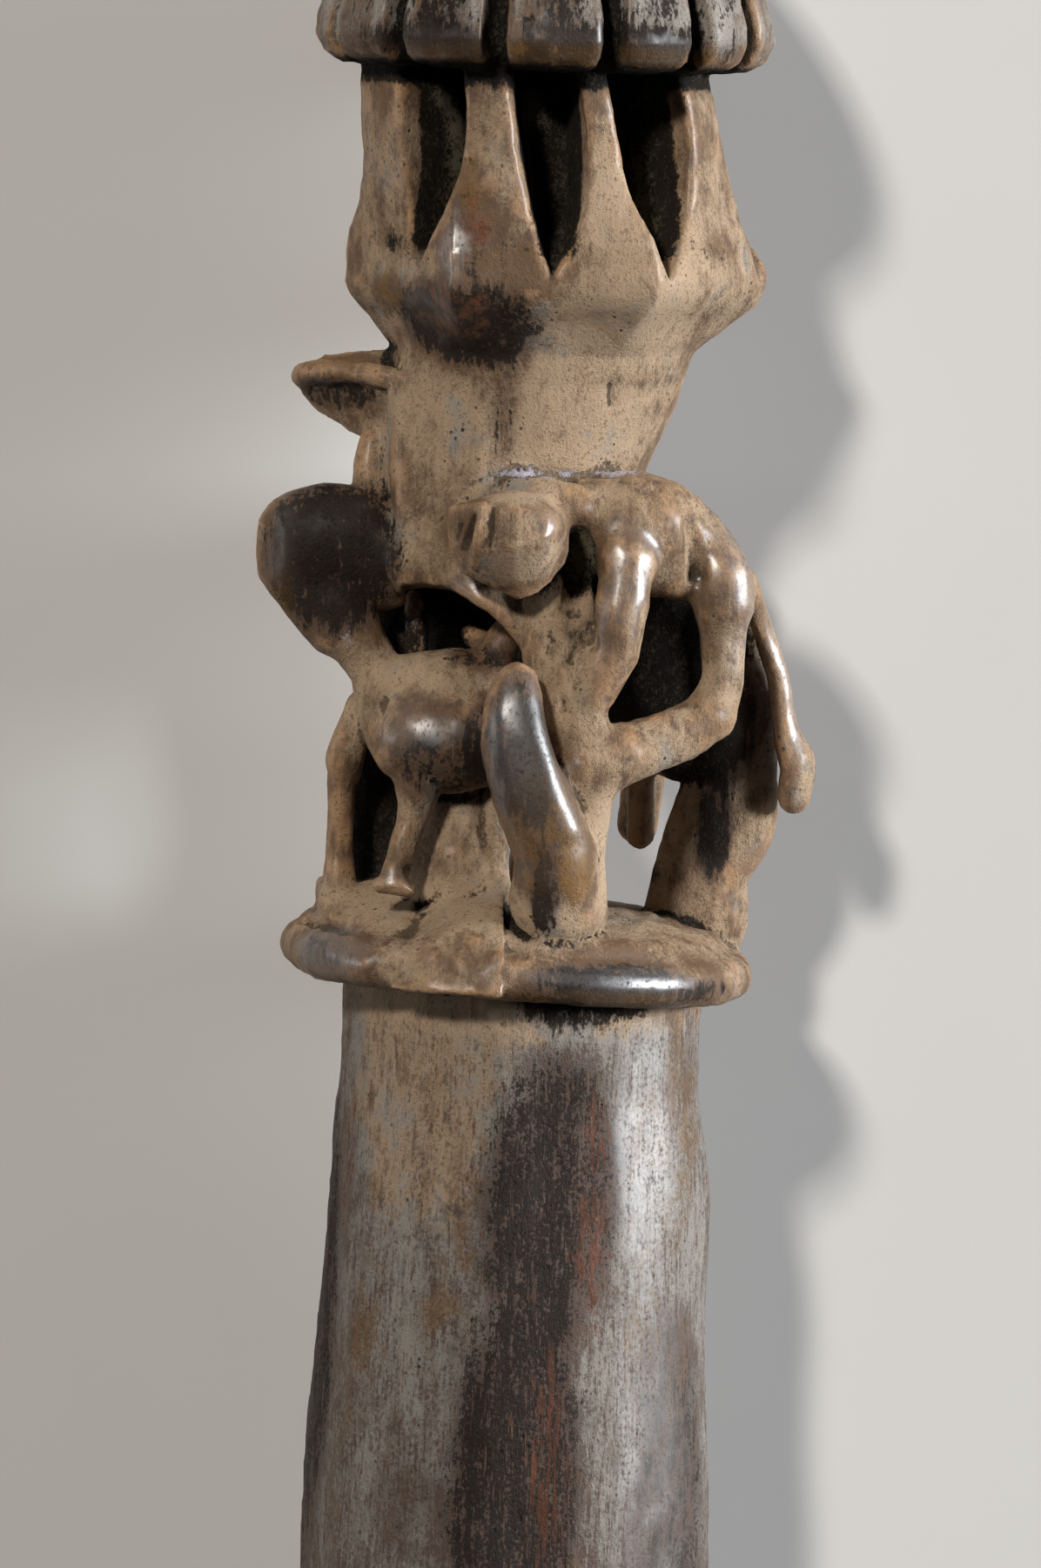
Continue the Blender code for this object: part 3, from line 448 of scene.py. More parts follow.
# The heart of the openwork: what the carver left behind the figures, rough and painted dark as shade,
# so that only two small gaps beside the perch let the light through.
figure(
    ("under the neck", 0.8, (
        (-0.62, 0.68, -0.26, 0.244), (-0.35, 0.665, -0.29, 0.265), (-0.05, 0.66, -0.26, 0.265))),
    ("behind the right legs", 0.8, (
        (0.5, 0.765, -0.18, 0.221), (0.53, 0.625, -0.26, 0.231), (0.53, 0.5, -0.28, 0.231),
        (0.66, 0.38, -0.26, 0.179))),
    ("beside the horn", 0.6, ((-0.3, 0.36, 0.2, 0.2), (-0.31, 0.2, 0.24, 0.195), (-0.3, 0.04, 0.32, 0.22))),
    ("behind the chest", 0.6, ((0.18, 0.9, 0.28, 0.2), (0.21, 0.75, 0.3, 0.19), (0.24, 0.6, 0.34, 0.17))),
    ("behind the left legs", 0.8, (
        (-0.68, 0.305, -0.11, 0.169), (-0.67, 0.16, -0.13, 0.158), (-0.66, 0.03, -0.15, 0.18))),
    ("far limb", 0.6, (
        (0.49, 0.355, -0.26, 0.07), (0.495, 0.26, -0.29, 0.058), (0.5, 0.18, -0.32, 0.06),
        (0.5, 0.15, -0.33, 0.06))),
    ("rear prop", 0.7, (
        (-0.58, 0.62, -0.06, 0.15), (-0.62, 0.4, -0.16, 0.12), (-0.64, 0.2, -0.2, 0.105),
        (-0.64, -0.04, -0.22, 0.15))),
)

# The right-hand animal: its back is arched up into the neck, its head hangs to the left front with a broken
# muzzle, its paws meet on a perch, and its tail hangs free on the right before a thin upright fin.
figure(
    ("back", 0.7, (
        (0.13, 0.882, 0.3, 0.209), (0.31, 0.89, 0.43, 0.234), (0.47, 0.893, 0.43, 0.223),
        (0.64, 0.853, 0.35, 0.182), (0.77, 0.783, 0.26, 0.146))),
    ("haunch", 0.9, ((0.73, 0.85, 0.36, 0.12), (0.79, 0.79, 0.41, 0.14), (0.82, 0.727, 0.42, 0.13))),
    ("belly", 0.6, ((0.4, 0.825, 0.5, 0.15), (0.56, 0.802, 0.45, 0.13), (0.7, 0.782, 0.38, 0.115))),
    ("thigh", 0.9, (
        (0.81, 0.727, 0.41, 0.113), (0.82, 0.628, 0.39, 0.096), (0.82, 0.54, 0.39, 0.091),
        (0.77, 0.471, 0.41, 0.104))),
    ("chest", 0.6, (
        (0.09, 0.767, 0.57, 0.166), (0.1, 0.666, 0.61, 0.161), (0.13, 0.56, 0.63, 0.16),
        (0.18, 0.453, 0.64, 0.155), (0.24, 0.375, 0.64, 0.15)), 0.6, (-0.25, 0, 1)),
    ("shin", 0.6, (
        (0.77, 0.467, 0.41, 0.104), (0.65, 0.428, 0.46, 0.114), (0.5, 0.398, 0.54, 0.124),
        (0.35, 0.375, 0.61, 0.14), (0.23, 0.347, 0.64, 0.15))),
    ("perch", 0.6, (
        (0.27, 0.355, 0.63, 0.124), (0.26, 0.257, 0.64, 0.098), (0.25, 0.158, 0.65, 0.083),
        (0.24, 0.02, 0.65, 0.114))),
    ("shoulder", 1, ((0.36, 0.885, 0.55, 0.125), (0.39, 0.815, 0.64, 0.122))),
    ("foreleg", 0.5, (
        (0.39, 0.825, 0.65, 0.112), (0.38, 0.74, 0.69, 0.112), (0.37, 0.683, 0.7, 0.107),
        (0.36, 0.627, 0.7, 0.096), (0.32, 0.565, 0.69, 0.086), (0.25, 0.504, 0.68, 0.082),
        (0.18, 0.46, 0.66, 0.078))),
    ("fin", 0.8, (
        (0.87, 0.711, -0.08, 0.116), (0.91, 0.589, -0.13, 0.137), (0.92, 0.447, -0.16, 0.169),
        (0.9, 0.325, -0.17, 0.19), (0.86, 0.202, -0.19, 0.227), (0.77, 0.079, -0.2, 0.206),
        (0.75, -0.03, -0.21, 0.232)), 0.62),
    ("tail", 0.4, (
        (0.9, 0.765, 0.18, 0.07), (0.96, 0.699, 0.08, 0.055), (1.02, 0.617, 0.02, 0.052),
        (1.07, 0.537, -0.01, 0.052), (1.1, 0.455, -0.04, 0.058), (1.13, 0.391, -0.05, 0.076),
        (1.17, 0.335, -0.06, 0.096), (1.16, 0.27, -0.06, 0.086)), 0.8, (1, 0, 0.4)),
)

# Its head: a broken, faceted block, with a polished crown, a split left side and a rough broken muzzle.
limb(((-0.06, 0.955, 0.55, 0.115), (0.06, 0.94, 0.6, 0.115), (0.17, 0.93, 0.58, 0.11)), fillet=0.7)
block((
    (-0.38, 0.935, 0.74), (-0.26, 0.959, 0.82), (-0.22, 0.949, 0.95), (-0.2, 0.9, 0.99),
    (-0.21, 0.844, 0.96), (-0.23, 0.814, 0.89), (-0.31, 0.786, 0.81), (-0.37, 0.837, 0.73),
    (-0.38, 0.903, 0.73), (-0.12, 0.98, 0.78), (0.03, 0.974, 0.72), (0.12, 0.941, 0.68),
    (0.16, 0.898, 0.67), (0.16, 0.847, 0.66), (-0.17, 0.877, 0.99), (-0.09, 0.865, 1.02), (0.04, 0.873, 1),
    (0.09, 0.906, 0.93), (0.05, 0.933, 0.94), (-0.09, 0.947, 0.96), (-0.07, 0.735, 0.81),
    (-0.01, 0.744, 0.81), (0.07, 0.775, 0.76), (0.14, 0.818, 0.69), (-0.28, 0.892, 0.47),
    (0.09, 0.897, 0.45), (-0.05, 0.788, 0.5), (-0.2, 0.817, 0.53)
), 0.2, 0.08)
limb((
    (-0.225, 0.945, 0.935, 0.024), (-0.235, 0.88, 0.95, 0.03), (-0.255, 0.815, 0.875, 0.024)
), fillet=0.15)

# The deep recess between its head and its foreleg, the groove between back and haunch, and the chest's pits.
limb((
    (0.17, 0.925, 0.73, 0.025), (0.19, 0.867, 0.67, 0.06), (0.195, 0.788, 0.64, 0.075),
    (0.18, 0.725, 0.68, 0.06), (0.17, 0.69, 0.74, 0.03)
), fillet=0.4, cut=True)
limb((
    (0.66, 0.91, 0.58, 0.03), (0.68, 0.851, 0.56, 0.042), (0.695, 0.787, 0.52, 0.042)
), fillet=0.5, cut=True)
PITS = ((0.16, 0.579, 0.03), (0.08, 0.517, 0.024), (0.14, 0.495, 0.02))
PIT_FRONT = 0.735
PIT_HALF_LENGTH = 0.012
for across, up, girth in PITS:
    ends = (up + PIT_HALF_LENGTH, up - PIT_HALF_LENGTH)
    limb([(across, end, PIT_FRONT, girth) for end in ends], 0.15, cut=True)

# The front upright: a smooth horn or finger, polished by hands, that stands on the platform's front.
figure(
    ("horn", 0.8, (
        (-0.06, 0.545, 0.79, 0.088), (-0.07, 0.515, 0.8, 0.112), (-0.07, 0.457, 0.82, 0.128),
        (-0.05, 0.389, 0.82, 0.147), (0, 0.311, 0.82, 0.16), (0.07, 0.233, 0.81, 0.17),
        (0.12, 0.164, 0.79, 0.176), (0.13, 0.104, 0.76, 0.186), (0.13, 0.05, 0.72, 0.2)), 0.9),
    ("horn's ridge", 0.8, (
        (-0.03, 0.5, 0.84, 0.06), (0.01, 0.424, 0.885, 0.064), (0.08, 0.318, 0.905, 0.066),
        (0.15, 0.23, 0.9, 0.066))),
)

# The left-hand figure: a round drum or shield leans out to the left over a rounded body on two legs, and a
# sloping apron runs down in front of it over the platform's rim. A flat cut leaves the drum's face.
figure(
    ("drum", 0.4, (
        (-0.99, 0.828, 0.2, 0.226), (-0.88, 0.835, 0.22, 0.241), (-0.76, 0.825, 0.23, 0.24),
        (-0.66, 0.79, 0.24, 0.21)), 0.66),
    ("drum's lower edge", 0.4, (
        (-1.01, 0.788, 0.2, 0.196), (-0.93, 0.71, 0.21, 0.17), (-0.85, 0.644, 0.23, 0.143)), 0.7),
    ("throat", 0.7, (
        (-0.86, 0.706, 0.22, 0.15), (-0.78, 0.629, 0.25, 0.128), (-0.68, 0.552, 0.29, 0.115),
        (-0.61, 0.486, 0.35, 0.135)), 0.85),
    ("flank", 0.5, (
        (-0.71, 1.063, 0.13, 0.052), (-0.73, 0.994, 0.16, 0.063), (-0.68, 0.907, 0.21, 0.095),
        (-0.6, 0.822, 0.29, 0.12), (-0.51, 0.77, 0.36, 0.115))),
    ("withers", 0.7, (
        (-0.56, 0.484, 0.33, 0.158), (-0.48, 0.494, 0.35, 0.18), (-0.34, 0.5, 0.34, 0.188),
        (-0.17, 0.511, 0.29, 0.167))),
    ("body", 0.9, (
        (-0.54, 0.42, 0.37, 0.18), (-0.45, 0.4, 0.43, 0.225), (-0.32, 0.395, 0.44, 0.225),
        (-0.16, 0.405, 0.4, 0.203))),
    ("flank's ridge", 0.6, (
        (-0.7, 0.51, 0.33, 0.05), (-0.68, 0.442, 0.37, 0.05), (-0.65, 0.393, 0.39, 0.046),
        (-0.61, 0.35, 0.41, 0.036))),
    ("outer shoulder", 0.5, (
        (-0.72, 0.455, 0.28, 0.08), (-0.77, 0.38, 0.28, 0.08), (-0.79, 0.335, 0.26, 0.082),
        (-0.795, 0.305, 0.24, 0.074))),
    ("outer leg", 0.4, (
        (-0.81, 0.276, 0.23, 0.062), (-0.81, 0.218, 0.22, 0.057), (-0.81, 0.138, 0.22, 0.056),
        (-0.81, 0.074, 0.23, 0.064), (-0.81, 0.01, 0.23, 0.085))),
    ("inner leg", 0.4, (
        (-0.47, 0.3, 0.51, 0.105), (-0.48, 0.249, 0.53, 0.078), (-0.51, 0.191, 0.56, 0.065),
        (-0.54, 0.133, 0.6, 0.062), (-0.56, 0.098, 0.64, 0.06))),
    ("foot", 0.5, ((-0.62, 0.072, 0.66, 0.036), (-0.56, 0.075, 0.68, 0.044), (-0.5, 0.066, 0.67, 0.036))),
    ("pale leg", 0.3, (
        (-0.13, 0.305, 0.36, 0.075), (-0.13, 0.196, 0.38, 0.063), (-0.14, 0.097, 0.4, 0.068),
        (-0.14, 0.06, 0.44, 0.08))),
    ("rim roll", 0.5, (
        (-0.95, -0.105, -0.05, 0.111), (-0.9, -0.101, 0.21, 0.115), (-0.81, -0.099, 0.5, 0.115),
        (-0.65, -0.102, 0.71, 0.108), (-0.51, -0.107, 0.79, 0.094))),
)
block((
    (-0.92, 0.034, -0.25), (-0.9, 0.04, 0.18), (-0.45, 0.074, -0.25), (-0.44, 0.066, 0.3),
    (-0.82, -0.035, 0.5), (-0.5, -0.018, 0.68), (-0.92, -0.08, -0.25), (-0.45, -0.08, -0.25),
    (-0.9, -0.08, 0.2), (-0.78, -0.08, 0.5), (-0.48, -0.08, 0.72)
), 0.5, 0.4)
block((
    (-0.36, 0.085, 0.28), (-0.09, 0.09, 0.3), (-0.49, -0.04, 0.77), (-0.085, 0.01, 0.8),
    (-0.55, -0.098, 0.88), (-0.085, -0.066, 0.985), (-0.56, -0.15, 0.9), (-0.085, -0.152, 1.03),
    (-0.35, -0.15, 0.995), (-0.32, -0.018, 0.85), (-0.57, -0.16, 0.32), (-0.08, -0.16, 0.32)
), 0.25, 0.15)
block((
    (-1.373, 1, 0), (-1.353, 0.56, 0), (-0.985, 1, 0.45), (-0.965, 0.56, 0.45), (-1.9, 1, 0.6),
    (-1.9, 0.56, 0.6), (-1.9, 1, -0.1), (-1.9, 0.56, -0.1)
), 0.2, 0.05, cut=True)
limb((
    (-0.95, -0.055, 0.13, 0.026), (-0.87, -0.046, 0.36, 0.03), (-0.74, -0.035, 0.6, 0.028),
    (-0.63, -0.018, 0.75, 0.02)
), fillet=0.5, cut=True)

# Carving on the neck: a hollow under it, a thin lip round that hollow down to the animal's chin, a beak that
# juts out to the left, and a web under the beak that ties it to the drum.
block((
    (-0.58, 0.77, 0.79), (-0.4, 0.762, 0.79), (-0.25, 0.728, 0.79), (-0.09, 0.672, 0.79),
    (-0.05, 0.6, 0.79), (-0.19, 0.605, 0.79), (-0.41, 0.613, 0.79), (-0.56, 0.635, 0.79),
    (-0.56, 0.722, 0.1), (-0.35, 0.725, 0.1), (-0.23, 0.691, 0.1), (-0.12, 0.645, 0.2), (-0.12, 0.62, 0.2),
    (-0.19, 0.618, 0.1), (-0.42, 0.62, 0.1), (-0.54, 0.64, 0.1)
), 0.3, 0.2, cut=True)
figure(
    ("pale limb", 0.3, ((-0.52, 0.7, 0.06, 0.04), (-0.51, 0.652, 0.1, 0.046), (-0.5, 0.59, 0.14, 0.05))),
    ("lump", 0.3, ((-0.27, 0.625, 0.14, 0.045), (-0.22, 0.61, 0.18, 0.055))),
    ("lump by the chest", 0.5, (
        (-0.09, 0.66, 0.3, 0.06), (-0.12, 0.62, 0.31, 0.08), (-0.17, 0.575, 0.32, 0.09))),
    ("lip", 0.6, (
        (-0.46, 0.85, 0.44, 0.034), (-0.4, 0.8, 0.48, 0.036), (-0.33, 0.765, 0.525, 0.036),
        (-0.25, 0.735, 0.585, 0.038), (-0.17, 0.708, 0.6, 0.036), (-0.11, 0.682, 0.6, 0.034),
        (-0.05, 0.64, 0.59, 0.03))),
    ("beak's edge", 0.3, (
        (-1.03, 1.201, -0.02, 0.052), (-0.95, 1.214, 0.07, 0.052), (-0.8, 1.213, 0.15, 0.048),
        (-0.65, 1.21, 0.25, 0.045))),
    ("web", 0.5, (
        (-0.64, 1.11, 0.05, 0.085), (-0.65, 1.01, 0.08, 0.075), (-0.69, 0.95, 0.11, 0.07),
        (-0.79, 0.905, 0.15, 0.08)), 0.7),
)
block((
    (-1.05, 1.19, -0.02), (-1.04, 1.155, -0.05), (-1.03, 1.228, -0.06), (-0.98, 1.19, 0.04),
    (-0.81, 1.195, 0.14), (-0.61, 1.186, 0.26), (-0.94, 1.253, -0.08), (-0.64, 1.273, 0),
    (-0.95, 1.112, -0.05), (-0.76, 1.06, 0.03), (-0.66, 1.04, 0.13), (-0.83, 1.183, -0.16),
    (-0.61, 1.186, -0.16)
), 0.3, 0.15)

# The back, which no photograph shows: a plainer animal with its perch, paw and tail, in keeping with those
# on the front.
figure(
    ("back", 0.7, (
        (0.46, 0.86, -0.34, 0.22), (0.22, 0.87, -0.52, 0.245), (-0.1, 0.86, -0.58, 0.235),
        (-0.36, 0.8, -0.5, 0.205), (-0.52, 0.7, -0.36, 0.165))),
    ("head", 0.6, ((0.44, 0.86, -0.42, 0.19), (0.58, 0.83, -0.48, 0.2), (0.7, 0.79, -0.46, 0.16))),
    ("paw", 0.6, (
        (0.44, 0.8, -0.44, 0.14), (0.53, 0.62, -0.46, 0.112), (0.53, 0.46, -0.47, 0.102),
        (0.51, 0.3, -0.48, 0.098), (0.49, 0.17, -0.48, 0.09))),
    ("thigh", 0.7, (
        (-0.36, 0.74, -0.56, 0.14), (-0.4, 0.6, -0.64, 0.12), (-0.3, 0.46, -0.67, 0.115),
        (-0.1, 0.38, -0.66, 0.12), (0.06, 0.32, -0.62, 0.13))),
    ("perch", 0.7, (
        (0.06, 0.84, -0.5, 0.16), (0.08, 0.6, -0.56, 0.14), (0.08, 0.35, -0.6, 0.135),
        (0.07, 0.15, -0.62, 0.12), (0.06, -0.04, -0.62, 0.17))),
    ("tail", 0.6, (
        (-0.5, 0.68, -0.46, 0.105), (-0.56, 0.5, -0.55, 0.092), (-0.58, 0.32, -0.6, 0.095),
        (-0.56, 0.14, -0.61, 0.105), (-0.54, -0.04, -0.58, 0.15))),
)

# The small flats under the rim and the foot, on which the staff lies.
span, (x, y, z) = billet.stretch(BILLET_FOOT, BILLET_TOP, BILLET_REACH)
height = x * ground_normal[0] + y * ground_normal[1] + z * ground_normal[2] + ground_depth
billet.cut(span, height.astype(np.float32), 0.02)


# The skin of the wood, worked smooth by the knife. It has one point in each cell that the surface crosses,
# and one face round each crossed edge of the grid.
def skin_over(axes, field):
    cells = np.array(field.shape) - 1
    spots, owners, quads = [], [], []
    for axis in range(3):
        first, second = (axis + 1) % 3, (axis + 2) % 3
        near = [slice(None)] * 3
        far = [slice(None)] * 3
        near[axis], far[axis] = slice(None, -1), slice(1, None)
        crossed = (field[tuple(near)] < 0) != (field[tuple(far)] < 0)
        at = np.argwhere(crossed)
        step = np.eye(3, dtype=int)[axis]
        a = field[tuple(at.T)].astype(float)
        b = field[tuple((at + step).T)].astype(float)
        spot = np.stack([axes[k][at[:, k]] for k in range(3)], 1).astype(float)
        spot[:, axis] += (axes[axis][at[:, axis] + 1] - spot[:, axis]) * a / (a - b)
        around = []
        for low_first, low_second in ((0, 0), (1, 0), (1, 1), (0, 1)):
            cell = at.copy()
            cell[:, first] -= low_first
            cell[:, second] -= low_second
            around.append(np.ravel_multi_index(tuple(cell.T), tuple(cells)))
            spots.append(spot)
            owners.append(around[-1])
        quad = np.stack(around, 1)
        outward = a < 0
        quads.append(np.where(outward[:, None], quad, quad[:, ::-1]))
    names, found = np.unique(np.concatenate(owners), return_inverse=True)
    spots = np.concatenate(spots)
    count = np.bincount(found)
    places = np.stack([np.bincount(found, spots[:, k]) / count for k in range(3)], 1)
    return places, (), np.searchsorted(names, np.concatenate(quads))


def rows_of(items, name):
    """Three values of each of a mesh's items, as rows."""
    rows = np.empty(len(items) * 3, np.float32)
    items.foreach_get(name, rows)
    return rows.reshape(-1, 3).astype(float)


def move(mesh, places):
    mesh.vertices.foreach_set("co", places.astype(np.float32).ravel())


def worked(thing, name, kind, **settings):
    """Replaces an object's mesh by what a modifier makes of it."""
    modifier = thing.modifiers.new(name, kind)
    for key, value in settings.items():
        setattr(modifier, key, value)
    shaped = thing.evaluated_get(bpy.context.evaluated_depsgraph_get())
    mesh = bpy.data.meshes.new_from_object(shaped)
    thing.modifiers.clear()
    thing.data = mesh


staff = placed("carved_staff", bpy.data.meshes.new("carved_staff"))
staff.data.from_pydata(*skin_over(billet.axes, billet.field), shade_flat=False)
staff.data.validate()
worked(staff, "knife-softened", "SMOOTH", factor=0.45, iterations=1)

# Relief that the knife, hands and time left: soft tool marks, dents, worn ripples, and crust in the hollows.
LATTICE_POINTS = 32
chance = np.random.default_rng(23)
LATTICE = chance.random((LATTICE_POINTS,) * 3)


def mixed(grid, low, share):
    """The grid's value between its points: from each low point by a share of a cell along each axis."""
    total = np.zeros(len(low))
    for corner in np.ndindex(2, 2, 2):
        weight = np.prod(np.where(corner, share, 1 - share), axis=1)
        total += weight * grid[tuple(((low + corner) % grid.shape).T)]
    return total


def ripple(places, size):
    """A smooth random value from -1 to 1 at each place, in blobs of this size along each axis."""
    scaled = places / np.array(size)
    cell = np.floor(scaled).astype(int)
    return mixed(LATTICE, cell, smooth(scaled - cell)) * 2 - 1


def gouged(places, size):
    """How far each place is from the nearest random spot, up to 1: scoops that meet in soft ridges."""
    scaled = places / np.array(size)
    cell = np.floor(scaled).astype(int)
    nearest = np.full(len(places), np.inf)
    for step in np.ndindex(3, 3, 3):
        other = cell + step - 1
        x, y, z = (other % LATTICE_POINTS).T
        jitter = np.stack([LATTICE[x, y, z], LATTICE[y, z, x], LATTICE[z, x, y]], 1)
        nearest = np.minimum(nearest, ((other + jitter - scaled) ** 2).sum(1))
    return np.clip(nearest, 0, 1)


def sampled(grid, places):
    """The value at each place of a grid on the billet's points."""
    at = [np.interp(places[:, k], axis, np.arange(len(axis))) for k, axis in enumerate(billet.axes)]
    at = np.clip(np.stack(at, 1), 0, np.array(grid.shape) - 1.001)
    low = at.astype(int)
    return mixed(grid, low, at - low)


def blurred(grid, reach):
    """The grid averaged twice over a box that reaches so many millimetres each way."""
    cells = round(reach / CELL)
    for axis in (0, 1, 2) * 2:
        first, last = np.take(grid, [0] * (cells + 1), axis), np.take(grid, [-1] * cells, axis)
        sums = np.cumsum(np.concatenate([first, grid, last], axis), axis, dtype=np.float32)
        upper = np.take(sums, np.arange(2 * cells + 1, sums.shape[axis]), axis)
        lower = np.take(sums, np.arange(0, sums.shape[axis] - 2 * cells - 1), axis)
        grid = (upper - lower) / (2 * cells + 1)
    return grid


def from_line(places, line):
    """How far each place is from a line drawn on the carved front, with depth counted little."""
    scale = np.array((1, 1, 0.2))
    rows = np.array(line) * scale
    nearest = np.full(len(places), np.inf)
    for start, end in zip(rows, rows[1:]):
        run = end - start
        aside = places * scale - start
        along = np.clip(aside @ run / (run @ run), 0, 1)
        nearest = np.minimum(nearest, np.linalg.norm(aside - along[:, None] * run, axis=1))
    return nearest


def patches(places, spots):
    """Where soft-edged patches lie, each given as its middle, its reach along each axis and its strength."""
    total = np.zeros(len(places))
    for middle, reach, strength in spots:
        out = np.linalg.norm((places - np.array(middle)) / np.array(reach), axis=1)
        total += strength * smooth((1 - out) / 0.6)
    return total


wood_share = (billet.field < 0).astype(np.float32)
near_share, wide_share = blurred(wood_share, 0.6), blurred(wood_share, 2.4)
OLD_CRACK = (
    (-7.9, 38.2, 11), (-7.5, 38.9, 11.5), (-6, 41, 12), (-3.9, 42.2, 12), (-0.5, 42.5, 11.5),
    (3, 42.3, 10.5), (6.2, 42.4, 9), (9.3, 42.7, 6.5),
)
# Each crack, cut or crease: its name, half its width, its depth, how dark its painted shade is, and its
# line.
SCORES = (
    ("old crack", 0.28, 0.40, 0.20, OLD_CRACK),
    ("neck cut", 0.25, 0.30, 0.35, ((5.6, 49.8, 9.5), (5.7, 48, 9))),
    ("body crease", 0.45, 0.35, 0.15, ((-11.9, 23.6, 9), (-12.3, 21.2, 8.5), (-12.5, 19.4, 8))),
    ("apron crease", 0.50, 0.50, 0.55, (
        (-9.7, 10.1, 11), (-8.9, 9, 12), (-7.4, 7.9, 12.5), (-8.4, 6.5, 14), (-9.5, 5.1, 15.5))),
    ("muzzle break", 0.30, 0.20, 0.25, (
        (-3.8, 38.6, 18.3), (-3.3, 38.1, 18.8), (-2.4, 37.6, 19), (-1.6, 37.3, 19), (0.8, 37.4, 18.8))),
    ("left split", 0.26, 0.75, 0.90, ((-4.9, 39.1, 17), (-5.3, 38, 16.7), (-5.8, 36.4, 16))),
    ("short split", 0.18, 0.30, 0.50, ((-6.1, 38.4, 15.8), (-6.5, 37, 15.2))),
    ("facet crease", 0.22, 0.35, 0.60, ((-3.5, 40, 18.4), (-3.6, 38.4, 18.9), (-3.7, 36.8, 18))),
)
# Where the relief is calmer, and with a minus sign rougher.
CALM_PATCHES = (
    ((-1, 38, 17), (6.5, 5.5, 5), 0.8), ((0.5, 18, 18), (6, 13, 5), 0.6), ((-17, 35, 6), (6, 6, 6), 0.5),
    ((0, 47, 10), (14, 7, 8), 0.85), ((6, 56, 10), (14, 7, 10), 0.5),
    ((2.6, 29.5, 13), (4.5, 5.5, 5), -2.2), ((3.2, 26, 13.5), (3.5, 4.5, 4), -1.4),
    ((10, -20, 12), (9, 30, 12), 0.6), ((8, 2, 17), (12, 3, 8), 0.5), ((15.4, 32.5, 8), (4, 6, 5), 0.5)
)
# How deep the ripples and the scoops of the knife are, and their size along each axis.
RIPPLES = ((0.09, (3.4, 6, 3.4)), (0.07, (1.3, 2.2, 1.3)))
SCOOPS = ((0.16, (2.6, 4.6, 2.6)), (0.10, (1.2, 1.8, 1.2)))
CRUMB = (0.6, 0.8, 0.6)
places, normals = rows_of(staff.data.vertices, "co"), rows_of(staff.data.vertex_normals, "vector")
crusty = smooth((sampled(wide_share, places) - 0.52) / 0.16)
relief = sum(deep * ripple(places, size) for deep, size in RIPPLES)
relief += sum(deep * gouged(places, size) for deep, size in SCOOPS) - 0.05
relief += (0.05 + 0.14 * crusty) * ripple(places, CRUMB)
relief *= 1 - patches(places, CALM_PATCHES)
facing = smooth(normals[:, 2] / 0.3)
for _, width, depth, _, line in SCORES:
    relief -= depth * facing * np.exp(-(from_line(places, line) / width) ** 2)
places += normals * relief[:, None]
move(staff.data, places)

# Fewer triangles where the wood is plain.
STAFF_TRIANGLES = 192000
worked(staff, "thinned", "DECIMATE", ratio=min(1.0, STAFF_TRIANGLES / (2 * len(staff.data.polygons))))
